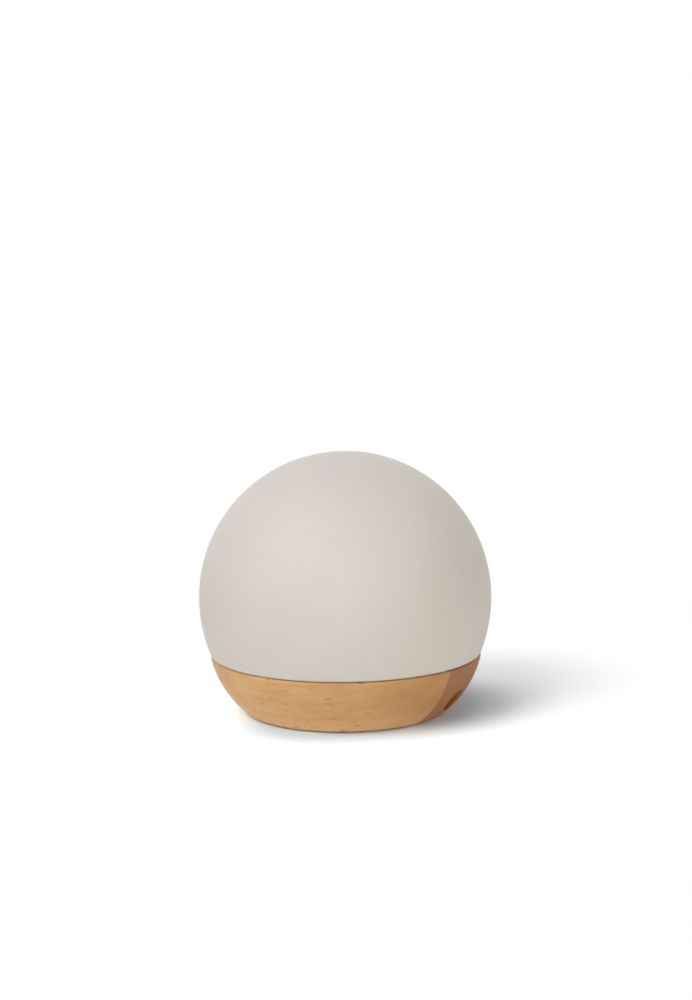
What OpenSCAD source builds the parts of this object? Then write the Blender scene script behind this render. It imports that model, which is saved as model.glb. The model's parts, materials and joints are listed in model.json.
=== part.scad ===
// Rechargeable table lamp: an opal glass globe set into a shallow turned beech base.
//
// The globe is blown with a stepped-in collar, and the collar drops into a rebate in the base's rim, so
// that the glass seems to run on into the wood. The base is turned from a blank of two edge-glued boards.
// A moulded tray in its bore carries the battery and boards below its deck and the light unit on top.
// The charging socket sits at the end of an obround recess in the wood, and the button is underneath.
//
// Frame: +Z up, origin on the table under the middle of the lamp, charging recess towards +X.

/* [Globe] */
// Outer diameter of the opal glass globe
globe_d = 150; // [148:0.5:152]
// Wall thickness of the glass
globe_wall = 2.2; // [1.8:0.1:2.6]
// Height of the globe's centre above its shoulder
globe_rise = 28.6; // [27.6:0.2:29.6]
// Radius with which the sphere turns in at the shoulder
shoulder_round = 2; // [1.4:0.1:2.8]
// Width of the shoulder outside the collar
shoulder_w = 5.8; // [5.4:0.1:6.2]
// Height of the collar
collar_h = 5.8; // [5.3:0.25:6.3]

/* [Beech base] */
// Height of the wood from its underside to the rim
base_h = 28.6; // [28.1:0.25:29.6]
// Diameter of the wood at its underside
base_bottom_d = 104.5; // [102:0.5:106]
// How far the side bulges out from a straight taper
side_bulge = 2.9; // [2:0.1:3.6]
// How far the rim stands proud of the glass
rim_proud = 0.5; // [0.2:0.05:0.7]
// Shadow gap between the rim and the glass shoulder
rim_gap = 0.2; // [0.1:0.05:0.5]
// Rounding of the rim's outer edge
rim_round = 1.1; // [0.7:0.1:1.6]
// Rounding of the bottom edge
bottom_round = 1.8; // [1:0.1:2.4]
// Distance of the glue line between the two boards from the middle; the recess runs in along it
glue_line_offset = 18; // [16:0.5:24]

/* [Charging recess] */
// Width of the recess in the wood
recess_w = 13.4; // [13:0.1:14]
// Height of the recess in the wood
recess_h = 10.4; // [10:0.1:11]
// Height of the recess's centre above the wood's underside
recess_rise = 9.3; // [9:0.1:9.8]
// Depth of the socket's face below the surface of the wood
recess_depth = 7.7; // [7.2:0.1:8.4]

/* [Bottom cover and button] */
// Thickness of the bottom cover
cover_t = 2.4; // [2.2:0.1:2.8]
// How far the foot ring holds the wood off the table
foot_drop = 0.7; // [0.5:0.1:1]
// Width of the foot ring
foot_w = 4.8; // [4:0.1:5]
// Diameter of the power button
button_d = 12; // [11:0.1:13]
// Travel of the power button
button_travel = 1; // [0.8:0.05:1.2]

/* [Tray and light unit] */
// Wall thickness of the moulded tray
tray_wall = 1.8; // [1.6:0.1:2]
// Height of the tray's deck above the ledge that carries its flange
deck_rise = 5.3; // [5:0.1:6]
// Diameter of the light board
light_board_d = 56; // [55:0.5:57]
// Number of light chips in the outer ring
outer_chips = 12; // [8:1:14]
// Number of light chips in the inner ring
inner_chips = 6; // [3:3:6]
// Height of the diffuser dome's crown above its skirt
dome_rise = 17; // [15:0.5:20]

/* [Battery and boards] */
// Diameter of the battery cell in its sleeve
battery_d = 18.5; // [18.2:0.1:18.7]
// Length of the battery cell
battery_l = 65.5; // [64.5:0.25:66]
// Length of the main board
main_board_l = 52; // [50:0.5:52.5]
// Width of the main board
main_board_w = 24; // [23:0.5:24.5]
// Thickness of the boards
board_t = 1.6; // [1.4:0.1:1.8]
// Outer diameter of the wires
wire_d = 1.4; // [1.2:0.1:1.5]

/* [Hidden] */
$fn = 96;

// Clearances and small common sizes
eps = 0.01;               // how far a cutter runs past the face that it opens
fuse = 0.3;               // how deep ribs and bosses root in the wall that carries them
loose_fit = 0.4;          // gap round a piece that drops into its seat
close_fit = 0.2;          // gap round a glued or clipped piece
slide_fit = 0.05;         // gap round a sliding or threaded piece
far = 2 * globe_d;        // past every piece
oversize = 1.01;          // rounding arcs over their named radius

// Heights, from the table up
wood_z = foot_drop;
cover_top_z = wood_z + cover_t;
rim_z = wood_z + base_h;
shoulder_z = rim_z + rim_gap;
globe_z = shoulder_z + globe_rise;
collar_z = shoulder_z - collar_h;
seat_t = 1;
ledge_z = collar_z - seat_t;
deck_z = ledge_z + deck_rise;
deck_under_z = deck_z - tray_wall;
socket_z = wood_z + recess_rise;

// Globe and base radii
globe_r = globe_d / 2;
globe_inner_r = globe_r - globe_wall;
shoulder_r = sqrt(pow(globe_r, 2) - pow(globe_rise, 2));
collar_r = shoulder_r - shoulder_w;
collar_inner_r = collar_r - globe_wall;
rebate_r = collar_r + loose_fit;
rim_r = shoulder_r + rim_proud;
base_bottom_r = base_bottom_d / 2;

// The side of the base is an arc through the rim and the bottom edge, bulging side_bulge from the chord
side_run = rim_r - base_bottom_r;
side_chord = sqrt(pow(side_run, 2) + pow(base_h, 2));
side_arc_r = pow(side_chord, 2) / (8 * side_bulge) + side_bulge / 2;
side_arc_x = (rim_r + base_bottom_r) / 2 - (side_arc_r - side_bulge) * base_h / side_chord;
side_arc_z = (rim_z + wood_z) / 2 + (side_arc_r - side_bulge) * side_run / side_chord;
socket_face_x = side_arc_x + sqrt(pow(side_arc_r, 2) - pow(side_arc_z - socket_z, 2)) - recess_depth;

// The tray goes round the cell and the main board, and the bore goes round the tray
battery_r = battery_d / 2;
battery_x = -13;
main_board_x = 5.5;
tray_gap = 1.2;
cell_reach = norm([battery_r - battery_x, battery_l / 2]);
main_board_reach = norm([main_board_x + main_board_w, main_board_l / 2]);
tray_inner_r = max(cell_reach, main_board_reach) + tray_gap;
tray_r = tray_inner_r + tray_wall;
bore_r = tray_r + loose_fit;

// Bottom cover, foot ring and button
cover_step = 2.5;
cover_rebate_r = bore_r + cover_step;
cover_r = cover_rebate_r - close_fit;
foot_margin = 1.3;
foot_r = cover_r - foot_margin;
foot_groove = 0.8;
button_r = button_d / 2;
button_x = main_board_x + main_board_w / 2;
button_recess = 0.5;
button_flange_w = 1.3;
button_flange_t = 1;
button_collar_t = 1.4;
button_collar_h = button_flange_t + button_travel + 0.9;

// Tray
flange_t = 1.8;
seat_inner_r = collar_inner_r - 0.6;
flange_r = seat_inner_r - loose_fit;
tray_foot_gap = 0.3;

// Screws: shank, head and the bosses that take them
screw_d = 2.4;
screw_head_d = 4.4;
screw_head_h = 1.6;
screw_hole_d = 2.9;
boss_r = 2.6;
wide_boss_r = 3;
pilot_d = screw_d + 2 * slide_fit;
wood_screw_l = 10;
wood_screw_circle_r = (bore_r + flange_r) / 2;
wood_screws = 4;
cover_screw_circle_r = tray_inner_r - wide_boss_r - 2.3;
cover_screw_angles = [60, 180, 300];
cover_screw_head_r = 2.7;
cover_screw_head_h = 1.5;
cover_screw_l = 9;
dome_screw_l = 6;
light_screw_circle_r = 25.5;
light_screw_l = 6;
light_boss_h = 5;

// Light unit
thermal_pad_t = 0.5;
light_board_z = deck_z + thermal_pad_t;
light_board_top_z = light_board_z + board_t;
light_board_r = light_board_d / 2;
chip_size = [2.8, 3.5, 0.8];
outer_chip_r = 20;
inner_chip_r = 11;
wire_hole_r = 2.6;
wire_hole_circle_r = 10.5;
wire_hole_angle = -30;
wire_hole = on_ring(wire_hole_circle_r, wire_hole_angle);

// Diffuser dome: a cap on a short skirt with a flange
dome_wall = 1.5;
dome_r = light_board_r + 3.5;
dome_flange_t = 1.6;
dome_flange_r = cover_screw_circle_r + wide_boss_r;
dome_skirt_h = 4;
dome_skirt_z = deck_z + dome_skirt_h;
dome_sphere_r = (pow(dome_r, 2) + pow(dome_rise, 2)) / (2 * dome_rise);
dome_sphere_z = dome_skirt_z + dome_rise - dome_sphere_r;

// Reflector: a lip on the deck, a shallow cone and a skirt that stands on the tray's flange
reflector_t = 1.2;
reflector_inner_r = dome_flange_r + loose_fit;
reflector_r = flange_r - loose_fit;
reflector_knee_r = tray_r + 1;
reflector_drop = 2.3;

// Battery
foam_t = 0.5;
foam_edge = 1.5;
foam_w = 12;
battery_z = deck_under_z - foam_t - battery_r;
terminal_t = 0.3;
terminal_r = 6.5;
strap_t = 1.2;
strap_w = 12;
strap_z = battery_z - 2;
strap_ear_t = 1.4;
strap_ear_reach = 4.75;
strap_screw_offset = battery_r + strap_ear_reach;
strap_screw_l = 6;
saddle_t = 2.4;
saddle_y = 20;
saddle_depth = 6;

// Main board, hung from bosses under the deck with the switch on its underside
main_board_gap = 6.5;
main_board_z = cover_top_z + main_board_gap;
main_board_top_z = main_board_z + board_t;
main_board_margin = 3.5;
main_board_screw_l = 6;
main_board_holes = [
    for (x = [main_board_margin, main_board_w - main_board_margin]) for (s = [-1, 1])
        [main_board_x + x, s * (main_board_l / 2 - main_board_margin)]
];

// A place on the main board, as a share of its width from the inner edge and of its length from the middle
function on_main_board(share) = [main_board_x + share.x * main_board_w, share.y * main_board_l];

// Packages on the main board: length, width and height
charger_chip = [5, 4, 1.5];
driver_chip = [4, 3, 1.1];
power_chip = [5, 6, 1.6];
small_capacitor = [3.2, 1.6, 1];
large_capacitor = [4.5, 2.6, 2];
crystal = [2.5, 3.2, 1.2];
board_packages = [
    [[0.21, 0.08], charger_chip], [[0.21, -0.06], driver_chip], [[0.64, -0.385], power_chip],
    [[0.54, 0.11], small_capacitor], [[0.54, 0.05], small_capacitor], [[0.4, -0.4], small_capacitor],
    [[0.79, 0.15], large_capacitor], [[0.21, 0.27], crystal]
];
coil_at = on_main_board([0.79, -0.115]);
coil_w = 6;
coil_h = 3;
coil_clip = 1.2;

// Switch: a square housing and a round plunger that meets the button
switch_w = 6;
switch_h = 3.5;
switch_z = main_board_z - switch_h;
plunger_d = 3.5;
plunger_out = 1.5;
plunger_in = 1;
plunger_z = switch_z - plunger_out;
switch_foot = [1.2, 0.8, 0.2];

// Wire connectors: a socket on the main board and a plug in it, with the wires in its top
connector_size = [5, 8, 6];
connector_wall = 0.5;
plug_out = 3;
wire_pitch = 2.4;
battery_socket_at = on_main_board([0.5, 0.29]);
light_socket_at = on_main_board([0.375, -0.21]);
plug_top_z = main_board_top_z + connector_size.z + plug_out;

// Charging socket: shell and tongue on a small board that reaches through the tray and the wood
shell_w = 8.94;
shell_h = 3.26;
shell_l = 7.3;
shell_wall = 0.3;
shell_recess = 0.2;
shell_back_x = socket_face_x - shell_recess - shell_l;
tongue_w = 6.7;
tongue_t = 0.7;
tongue_l = 5.6;
charging_board_t = 1;
charging_board_top_z = socket_z - shell_h / 2;
charging_board_wide = 16;
charging_board_narrow = 10;
charging_boss_r = 2.2;
charging_screw_inset = 6.3;
charging_board_margin = 3.5;
charging_screw_x = tray_inner_r - charging_screw_inset;
charging_board_inner_x = charging_screw_x - charging_board_margin;
charging_board_neck_x = tray_inner_r - 1.5;
charging_screw_y = 5.5;
charging_screw_l = 5;
insert_l = 6;
insert_wall = 1.2;
insert_back_x = socket_face_x - insert_l;
insert_pocket_w = charging_board_narrow + 2 * close_fit;
insert_pocket_h = shell_h + charging_board_t + 2 * close_fit;
insert_pocket_z = socket_z - charging_board_t / 2;
neck_w = 11.2;
neck_h = 6;
window_w = 12;
window_h = 7;

// PROFILES AND SMALL SHAPES

// Where the arc that rounds the corner between a disc and a flat has its centre: up is 1 for a flat below
// the disc's material and -1 for one above it
function corner_centre(disc, r, f, flat_z, up) =
    let (dz = flat_z + up * f - disc.y) disc + [sqrt(pow(r - f, 2) - pow(dz, 2)), dz];

// What the rounding takes off that corner. The arc is a little oversize, so that it crosses the disc and
// the flat instead of touching them, and every edge comes out as a clean cut
module corner_waste(disc, r, f, flat_z, up) {
    centre = corner_centre(disc, r, f, flat_z, up);
    reach = 4 * f;
    out = reach * unit(centre - disc);
    down = reach * [0, -up];
    difference() {
        polygon([centre, centre + out, centre + out + down, centre + down]);
        translate(centre) circle(r = f * oversize);
    }
}

// Right half of a disc between two heights, with its corner at each flat rounded to f0 below and f1 above
module rounded_band(disc, r, z0, z1, f0, f1) {
    difference() {
        intersection() {
            translate(disc) circle(r = r);
            translate([0, z0]) square([far, z1 - z0]);
        }
        corner_waste(disc, r, f0, z0, 1);
        corner_waste(disc, r, f1, z1, -1);
    }
}

// Right half of a disc above a flat, with the corner at the flat rounded to f
module rounded_cap(disc, r, flat_z, f) {
    difference() {
        intersection() {
            translate(disc) circle(r = r);
            translate([0, flat_z]) square([far, far]);
        }
        corner_waste(disc, r, f, flat_z, 1);
    }
}

// An obround of full size w by h
module obround(w, h) {
    square([w - h, h], center = true);
    for (s = [-1, 1])
        translate([s * (w - h) / 2, 0]) circle(d = h);
}

// Turns a flat shape to face along +X, from x0 to x1, with its first axis along Y, centred at height z
module along_x(x0, x1, z) {
    translate([x0, 0, z]) rotate([90, 0, 90]) linear_extrude(height = x1 - x0) children();
}

// A flat ring from z0 to z1
module ring(r_in, r_out, z0, z1) {
    translate([0, 0, z0]) difference() {
        cylinder(r = r_out, h = z1 - z0);
        translate([0, 0, -eps]) cylinder(r = r_in, h = z1 - z0 + 2 * eps);
    }
}

// A screw pointing up: its head's seat is at the origin and its shank rises from there
module pan_screw(length) {
    head_r = screw_head_d / 2;
    difference() {
        union() {
            cylinder(d = screw_d, h = length - screw_d / 2);
            translate([0, 0, length - screw_d / 2])
                cylinder(d1 = screw_d, d2 = screw_d / 4, h = screw_d / 2);
            translate([0, 0, -screw_head_h]) cylinder(r1 = head_r * 0.8, r2 = head_r, h = screw_head_h / 3);
            translate([0, 0, -screw_head_h * 2 / 3]) cylinder(r = head_r, h = screw_head_h * 2 / 3);
        }
        translate([0, 0, -screw_head_h]) cross_recess();
    }
}

// A countersunk screw pointing up, with the flat of its head at the origin
module countersunk_screw(length) {
    difference() {
        union() {
            cylinder(r1 = cover_screw_head_r, r2 = screw_d / 2, h = cover_screw_head_h);
            cylinder(d = screw_d, h = length - screw_d / 2);
            translate([0, 0, length - screw_d / 2])
                cylinder(d1 = screw_d, d2 = screw_d / 4, h = screw_d / 2);
        }
        cross_recess();
    }
}

// The cutter for a cross recess, deepest at the screw's axis
module cross_recess() {
    arm_l = screw_head_d * 0.6;
    arm_w = 0.6;
    depth = screw_head_h * 0.55;
    for (a = [0, 90])
        rotate(a) translate([-arm_l / 2, -arm_w / 2, -eps]) cube([arm_l, arm_w, depth]);
}

module on_circle(r, angles) {
    for (a = angles)
        rotate(a) translate([r, 0, 0]) children();
}

module at_points(points, z) {
    for (p = points)
        translate([p.x, p.y, z]) children();
}

// WIRES: a tube of 8 sides swept along a smooth curve through the route's points

function unit(v) = v / norm(v);
function spline(a, b, c, d, t) =
    0.5 * ((2 * b) + (c - a) * t + (2 * a - 5 * b + 4 * c - d) * t * t
           + (3 * b - a - 3 * c + d) * t * t * t);
function smooth(p, n) = concat(
    [for (i = [0:len(p) - 2]) for (k = [0:n - 1])
        spline(i == 0 ? 2 * p[0] - p[1] : p[i - 1], p[i], p[i + 1],
               i == len(p) - 2 ? 2 * p[i + 1] - p[i] : p[i + 2], k / n)],
    [p[len(p) - 1]]);
function tangents(p, q) = concat(
    [unit(p[1] - p[0])],
    [for (i = [1:len(q) - 2]) unit(q[i + 1] - q[i - 1])],
    [unit(p[len(p) - 1] - p[len(p) - 2])]);
function square_to(n, t) = unit(n - (n * t) * t);
function normals(t) = [
    for (i = 0, n = square_to([0.6, 0.37, 0.71], t[0]); i < len(t);
         i = i + 1, n = i < len(t) ? square_to(n, t[i]) : n)
        n
];

module wire(route) {
    sides = 8;
    steps = 4;
    q = smooth(route, steps);
    t = tangents(route, q);
    n = normals(t);
    count = len(q);
    polyhedron(
        points = [
            for (i = [0:count - 1]) for (k = [0:sides - 1])
                q[i] + wire_d / 2 * (cos(360 * k / sides) * n[i] + sin(360 * k / sides) * cross(t[i], n[i]))
        ],
        faces = concat(
            [[for (k = [0:sides - 1]) k]],
            [[for (k = [sides - 1:-1:0]) (count - 1) * sides + k]],
            [for (i = [0:count - 2]) for (k = [0:sides - 1])
                let (here = i * sides, next = here + sides, turned = (k + 1) % sides)
                    [here + k, next + k, next + turned, here + turned]]
        )
    );
}

// Routes, side is -1 for the black wire and 1 for the red one. The battery's pair passes between the
// boss of the main board and the boss of the cover screw beside it
bend = 2 * wire_d;
function on_ring(r, angle) = r * [cos(angle), sin(angle)];
boss_gap = (main_board_holes[1] + on_ring(cover_screw_circle_r, cover_screw_angles[0])) / 2;
function battery_route(side) = let (p = battery_socket_at, s = side * wire_pitch / 2,
                                    x = battery_x + wire_pitch, y = battery_l / 2 + terminal_t,
                                    z = battery_z + s) [
    [x, y, z],
    [x, y + 0.4 * bend, z],
    [x + 1.5 * bend, y + 0.9 * bend, z + 0.1 * bend],
    [(x + boss_gap.x) / 2 + bend, (y + boss_gap.y) / 2 + 0.7 * bend, z + 0.3 * bend],
    [boss_gap.x, boss_gap.y, z + 0.5 * bend],
    [p.x + 0.8 * s, p.y + 2.3 * bend, battery_z + 1.5 * bend + s / 2],
    [p.x + s, p.y + 0.8 * bend, plug_top_z + 0.7 * bend],
    [p.x + s, p.y, plug_top_z + 0.5 * bend],
    [p.x + s, p.y, plug_top_z]
];
function light_route(side) = let (p = light_socket_at, s = side * wire_pitch / 2, x = wire_hole.x,
                                  y = wire_hole.y + 0.75 * s, z = light_board_top_z) [
    [p.x, p.y + s, plug_top_z],
    [p.x, p.y + s, plug_top_z + 0.6 * bend],
    [x, y, deck_under_z - 0.5 * bend],
    [x, y, deck_z],
    [x, y, z + 0.3 * bend],
    [x - 0.9 * bend, y + 0.5 * bend, z + 1.1 * bend],
    [x - 1.9 * bend, y + 1.1 * bend, z + 0.5 * bend],
    [x - 1.9 * bend, y + 1.1 * bend, z]
];
function charging_route(side) = let (y = side * wire_pitch / 2, x0 = charging_board_inner_x + 0.6 * bend,
                                     x1 = main_board_x + main_board_w - 0.7 * bend) [
    [x0, y, charging_board_top_z],
    [x0, y, charging_board_top_z + 0.9 * bend],
    [x0 - 0.3 * bend, y, main_board_top_z + 0.6 * bend],
    [(x0 + x1) / 2, y, main_board_top_z + bend],
    [x1 + 0.2 * bend, y, main_board_top_z + 0.7 * bend],
    [x1, y, main_board_top_z + 0.2 * bend],
    [x1, y, main_board_top_z]
];

// GLASS AND WOOD

// Blown globe: a sphere that turns in to a flat shoulder and a short collar, of even wall
module glass_globe() {
    centre = [0, globe_z];
    inner_shoulder_z = shoulder_z + globe_wall;
    color("WhiteSmoke") rotate_extrude() difference() {
        union() {
            rounded_cap(centre, globe_r, shoulder_z, shoulder_round);
            translate([0, collar_z]) square([collar_r, inner_shoulder_z - collar_z]);
        }
        rounded_cap(centre, globe_inner_r, inner_shoulder_z, shoulder_round / 2);
        translate([-1, collar_z - 1]) square([collar_inner_r + 1, inner_shoulder_z - collar_z + 2]);
    }
}

// The whole turned base before it is parted at the glue line
module turned_blank() {
    difference() {
        rotate_extrude() difference() {
            rounded_band([side_arc_x, side_arc_z], side_arc_r, wood_z, rim_z, bottom_round, rim_round);
            translate([-1, ledge_z]) square([rebate_r + 1, far]);
            translate([-1, 0]) square([bore_r + 1, far]);
            translate([-1, 0]) square([cover_rebate_r + 1, cover_top_z]);
        }
        along_x(insert_back_x, far, socket_z) obround(recess_w, recess_h);
        along_x(0, insert_back_x + 1, insert_pocket_z) square([neck_w, neck_h], center = true);
        on_circle(wood_screw_circle_r, wood_screw_angles())
            translate([0, 0, ledge_z + flange_t - wood_screw_l - 1]) cylinder(d = pilot_d, h = far);
    }
}

function wood_screw_angles() = [for (i = [0:wood_screws - 1]) 45 + i * 360 / wood_screws];

// One board's share of the turned base: side is 1 for the board with the recess, -1 for the other
module board_share(side) {
    intersection() {
        turned_blank();
        translate([-far / 2, (side > 0 ? 0 : -far) - glue_line_offset, 0]) cube([far, far, far]);
    }
}

module beech_board_main() {
    color("BurlyWood") board_share(-1);
}

module beech_board_side() {
    color("Peru") board_share(1);
}

module globe_seat_ring() {
    color("Gainsboro") ring(seat_inner_r, rebate_r - close_fit, ledge_z, collar_z);
}

// TRAY AND LIGHT UNIT

// A cup, open below, with a flange that lies on the ledge in the wood
module tray_shell() {
    rotate_extrude() union() {
        translate([tray_inner_r, cover_top_z + tray_foot_gap])
            square([tray_wall, deck_z - cover_top_z - tray_foot_gap]);
        translate([0, deck_under_z]) square([tray_r, tray_wall]);
        translate([tray_inner_r, ledge_z]) square([flange_r - tray_inner_r, flange_t]);
    }
}

module boss(r, z) {
    translate([0, 0, z]) cylinder(r = r, h = deck_under_z - z + fuse);
}

// Ribs under the deck that keep the cell from rolling
module battery_saddles() {
    for (s = [-1, 1])
        difference() {
            translate([battery_x - battery_r - 2, s * saddle_y - saddle_t / 2, deck_under_z - saddle_depth])
                cube([battery_d + 4, saddle_t, saddle_depth + fuse]);
            translate([battery_x, 0, battery_z]) rotate([90, 0, 0])
                cylinder(r = battery_r + loose_fit, h = far, center = true);
        }
}

function strap_points() = [for (s = [-1, 1]) [battery_x + s * strap_screw_offset, 0]];
function charging_points() = [for (s = [-1, 1]) [charging_screw_x, s * charging_screw_y]];

module light_tray() {
    color("White") difference() {
        union() {
            tray_shell();
            battery_saddles();
            at_points(main_board_holes, 0) boss(boss_r, main_board_top_z);
            at_points(strap_points(), 0) boss(boss_r, strap_z);
            at_points(charging_points(), 0) boss(charging_boss_r, charging_board_top_z);
            on_circle(cover_screw_circle_r, cover_screw_angles) boss(wide_boss_r, cover_top_z);
            on_circle(light_screw_circle_r, cover_screw_angles) boss(boss_r, deck_under_z - light_boss_h);
        }
        at_points(main_board_holes, main_board_top_z - eps) cylinder(d = pilot_d, h = main_board_screw_l);
        at_points(strap_points(), strap_z - eps) cylinder(d = pilot_d, h = strap_screw_l);
        at_points(charging_points(), charging_board_top_z - eps)
            cylinder(d = pilot_d, h = charging_screw_l);
        on_circle(cover_screw_circle_r, cover_screw_angles) {
            translate([0, 0, cover_top_z - eps]) cylinder(d = pilot_d, h = cover_screw_l);
            translate([0, 0, deck_z - dome_screw_l]) cylinder(d = pilot_d, h = far);
        }
        on_circle(light_screw_circle_r, cover_screw_angles)
            translate([0, 0, deck_z - light_screw_l]) cylinder(d = pilot_d, h = far);
        on_circle(wood_screw_circle_r, wood_screw_angles())
            translate([0, 0, ledge_z - eps]) cylinder(d = screw_hole_d, h = flange_t + 2 * eps);
        translate([wire_hole.x, wire_hole.y, deck_under_z - eps])
            cylinder(r = wire_hole_r, h = tray_wall + 2 * eps);
        along_x(tray_inner_r - wide_boss_r, tray_r + 1, insert_pocket_z)
            square([window_w, window_h], center = true);
    }
}

module tray_screws() {
    color("Silver") on_circle(wood_screw_circle_r, wood_screw_angles())
        translate([0, 0, ledge_z + flange_t]) rotate([180, 0, 0]) pan_screw(wood_screw_l);
}

module thermal_pad() {
    color("LightSlateGray") difference() {
        translate([0, 0, deck_z]) cylinder(r = light_board_r, h = thermal_pad_t);
        light_unit_holes(deck_z);
    }
}

// The three screw holes and the wire hole that the pad and the light board share
module light_unit_holes(z) {
    on_circle(light_screw_circle_r, cover_screw_angles)
        translate([0, 0, z - eps]) cylinder(d = screw_hole_d, h = far);
    translate([wire_hole.x, wire_hole.y, z - eps]) cylinder(r = wire_hole_r, h = far);
}

module light_board() {
    color("White") difference() {
        translate([0, 0, light_board_z]) cylinder(r = light_board_r, h = board_t);
        light_unit_holes(light_board_z);
    }
}

module light_chips() {
    color("Khaki") {
        chip_ring(outer_chips, outer_chip_r);
        chip_ring(inner_chips, inner_chip_r);
    }
}

module chip_ring(count, r) {
    on_circle(r, [for (i = [0:count - 1]) (count > 6 ? 180 / count : 0) + i * 360 / count])
        translate([0, 0, light_board_top_z + chip_size.z / 2]) cube(chip_size, center = true);
}

module light_board_screws() {
    color("Silver") on_circle(light_screw_circle_r, cover_screw_angles)
        translate([0, 0, light_board_top_z]) rotate([180, 0, 0])
            pan_screw(light_screw_l - eps - 1 + light_board_top_z - deck_z);
}

// White annulus that throws the light up and hides the tray's flange
module reflector_ring() {
    top_z = deck_z + reflector_t;
    foot_z = ledge_z + flange_t;
    color("White") rotate_extrude() polygon([
        [reflector_inner_r, deck_z],
        [reflector_knee_r, deck_z],
        [reflector_r - reflector_t, top_z - reflector_drop - reflector_t],
        [reflector_r - reflector_t, foot_z],
        [reflector_r, foot_z],
        [reflector_r, top_z - reflector_drop],
        [reflector_knee_r, top_z],
        [reflector_inner_r, top_z]
    ]);
}

// Half the dome's outline: a shallow cap that runs down into a straight skirt
module dome_half(r, sphere_r, foot_z) {
    intersection() {
        translate([0, dome_sphere_z]) circle(r = sphere_r);
        translate([0, foot_z]) square([r, far]);
    }
}

module diffuser_dome() {
    color("Ivory") difference() {
        rotate_extrude() difference() {
            union() {
                dome_half(dome_r, dome_sphere_r, deck_z);
                translate([0, deck_z]) square([dome_flange_r, dome_flange_t]);
            }
            dome_half(dome_r - dome_wall, dome_sphere_r - dome_wall, deck_z - 1);
        }
        on_circle(cover_screw_circle_r, cover_screw_angles)
            translate([0, 0, deck_z - 1]) cylinder(d = screw_hole_d, h = dome_flange_t + 2);
    }
}

module diffuser_screws() {
    color("Silver") on_circle(cover_screw_circle_r, cover_screw_angles)
        translate([0, 0, deck_z + dome_flange_t]) rotate([180, 0, 0])
            pan_screw(dome_screw_l + dome_flange_t - 1);
}

// BATTERY

module battery_cell() {
    color("SteelBlue") translate([battery_x, 0, battery_z]) rotate([90, 0, 0])
        cylinder(r = battery_r, h = battery_l, center = true);
}

module battery_terminals() {
    color("Silver") for (s = [-1, 1])
        translate([battery_x, s * (battery_l + terminal_t) / 2, battery_z]) rotate([90, 0, 0])
            cylinder(r = terminal_r, h = terminal_t, center = true);
}

// Foam between the deck and the cell, pressed to the cell's curve
module battery_foam() {
    color("DimGray") difference() {
        foam_l = 2 * saddle_y - saddle_t - 2 * close_fit;
        translate([battery_x - foam_w / 2, -foam_l / 2, deck_under_z - foam_t - foam_edge])
            cube([foam_w, foam_l, foam_t + foam_edge]);
        translate([battery_x, 0, battery_z]) rotate([90, 0, 0])
            cylinder(r = battery_r + slide_fit, h = far, center = true);
    }
}

// A hoop under the cell with an ear at each end
module battery_strap() {
    hoop_r = battery_r + slide_fit;
    color("DarkSlateGray") difference() {
        translate([0, strap_w / 2, 0]) rotate([90, 0, 0]) linear_extrude(height = strap_w) difference() {
            union() {
                intersection() {
                    translate([battery_x, battery_z]) circle(r = hoop_r + strap_t);
                    translate([-far, strap_z - far]) square([2 * far, far]);
                }
                translate([battery_x - strap_screw_offset - boss_r, strap_z - strap_ear_t])
                    square([2 * (strap_screw_offset + boss_r), strap_ear_t]);
            }
            translate([battery_x, battery_z]) circle(r = hoop_r);
        }
        at_points(strap_points(), 0) cylinder(d = screw_hole_d, h = far);
    }
}

module battery_strap_screws() {
    color("Silver") at_points(strap_points(), strap_z - strap_ear_t)
        pan_screw(strap_screw_l + strap_ear_t - 1);
}

// BOARDS AND CONNECTORS

module main_board() {
    color("ForestGreen") difference() {
        translate([main_board_x, -main_board_l / 2, main_board_z])
            cube([main_board_w, main_board_l, board_t]);
        at_points(main_board_holes, main_board_z - eps) cylinder(d = screw_hole_d, h = board_t + 2 * eps);
    }
}

module main_board_chips() {
    color("DimGray") for (package = board_packages) {
        at = on_main_board(package[0]);
        size = package[1];
        translate([at.x - size.x / 2, at.y - size.y / 2, main_board_top_z]) cube(size);
    }
}

// Shielded power inductor: a square can with clipped corners
module main_board_coil() {
    color("DarkGray") translate([coil_at.x, coil_at.y, main_board_top_z])
        linear_extrude(height = coil_h) difference() {
            square(coil_w, center = true);
            for (a = [45:90:315])
                rotate(a) translate([(coil_w - coil_clip) / sqrt(2), -coil_w / 2]) square(coil_w);
        }
}

module main_board_screws() {
    color("Silver") at_points(main_board_holes, main_board_z) pan_screw(main_board_screw_l + board_t - 1);
}

module connector_socket(at, turn) {
    s = connector_size;
    translate([at.x, at.y, main_board_top_z]) rotate(turn) difference() {
        translate([-s.x / 2, -s.y / 2, 0]) cube(s);
        translate([-s.x / 2 + connector_wall, -s.y / 2 + connector_wall, connector_wall])
            cube([s.x - 2 * connector_wall, s.y - 2 * connector_wall, s.z]);
    }
}

module connector_plug(at, turn) {
    s = connector_size;
    gap = connector_wall + slide_fit;
    translate([at.x, at.y, main_board_top_z + connector_wall]) rotate(turn)
        translate([gap - s.x / 2, gap - s.y / 2, 0])
            cube([s.x - 2 * gap, s.y - 2 * gap, s.z - connector_wall + plug_out]);
}

module battery_socket() {
    color("Ivory") connector_socket(battery_socket_at, 90);
}

module battery_plug() {
    color("White") connector_plug(battery_socket_at, 90);
}

module light_socket() {
    color("Ivory") connector_socket(light_socket_at, 0);
}

module light_plug() {
    color("White") connector_plug(light_socket_at, 0);
}

module battery_lead_red() {
    color("Red") wire(battery_route(1));
}

module battery_lead_black() {
    color("Black") wire(battery_route(-1));
}

module light_lead_red() {
    color("Red") wire(light_route(1));
}

module light_lead_black() {
    color("Black") wire(light_route(-1));
}

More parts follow.
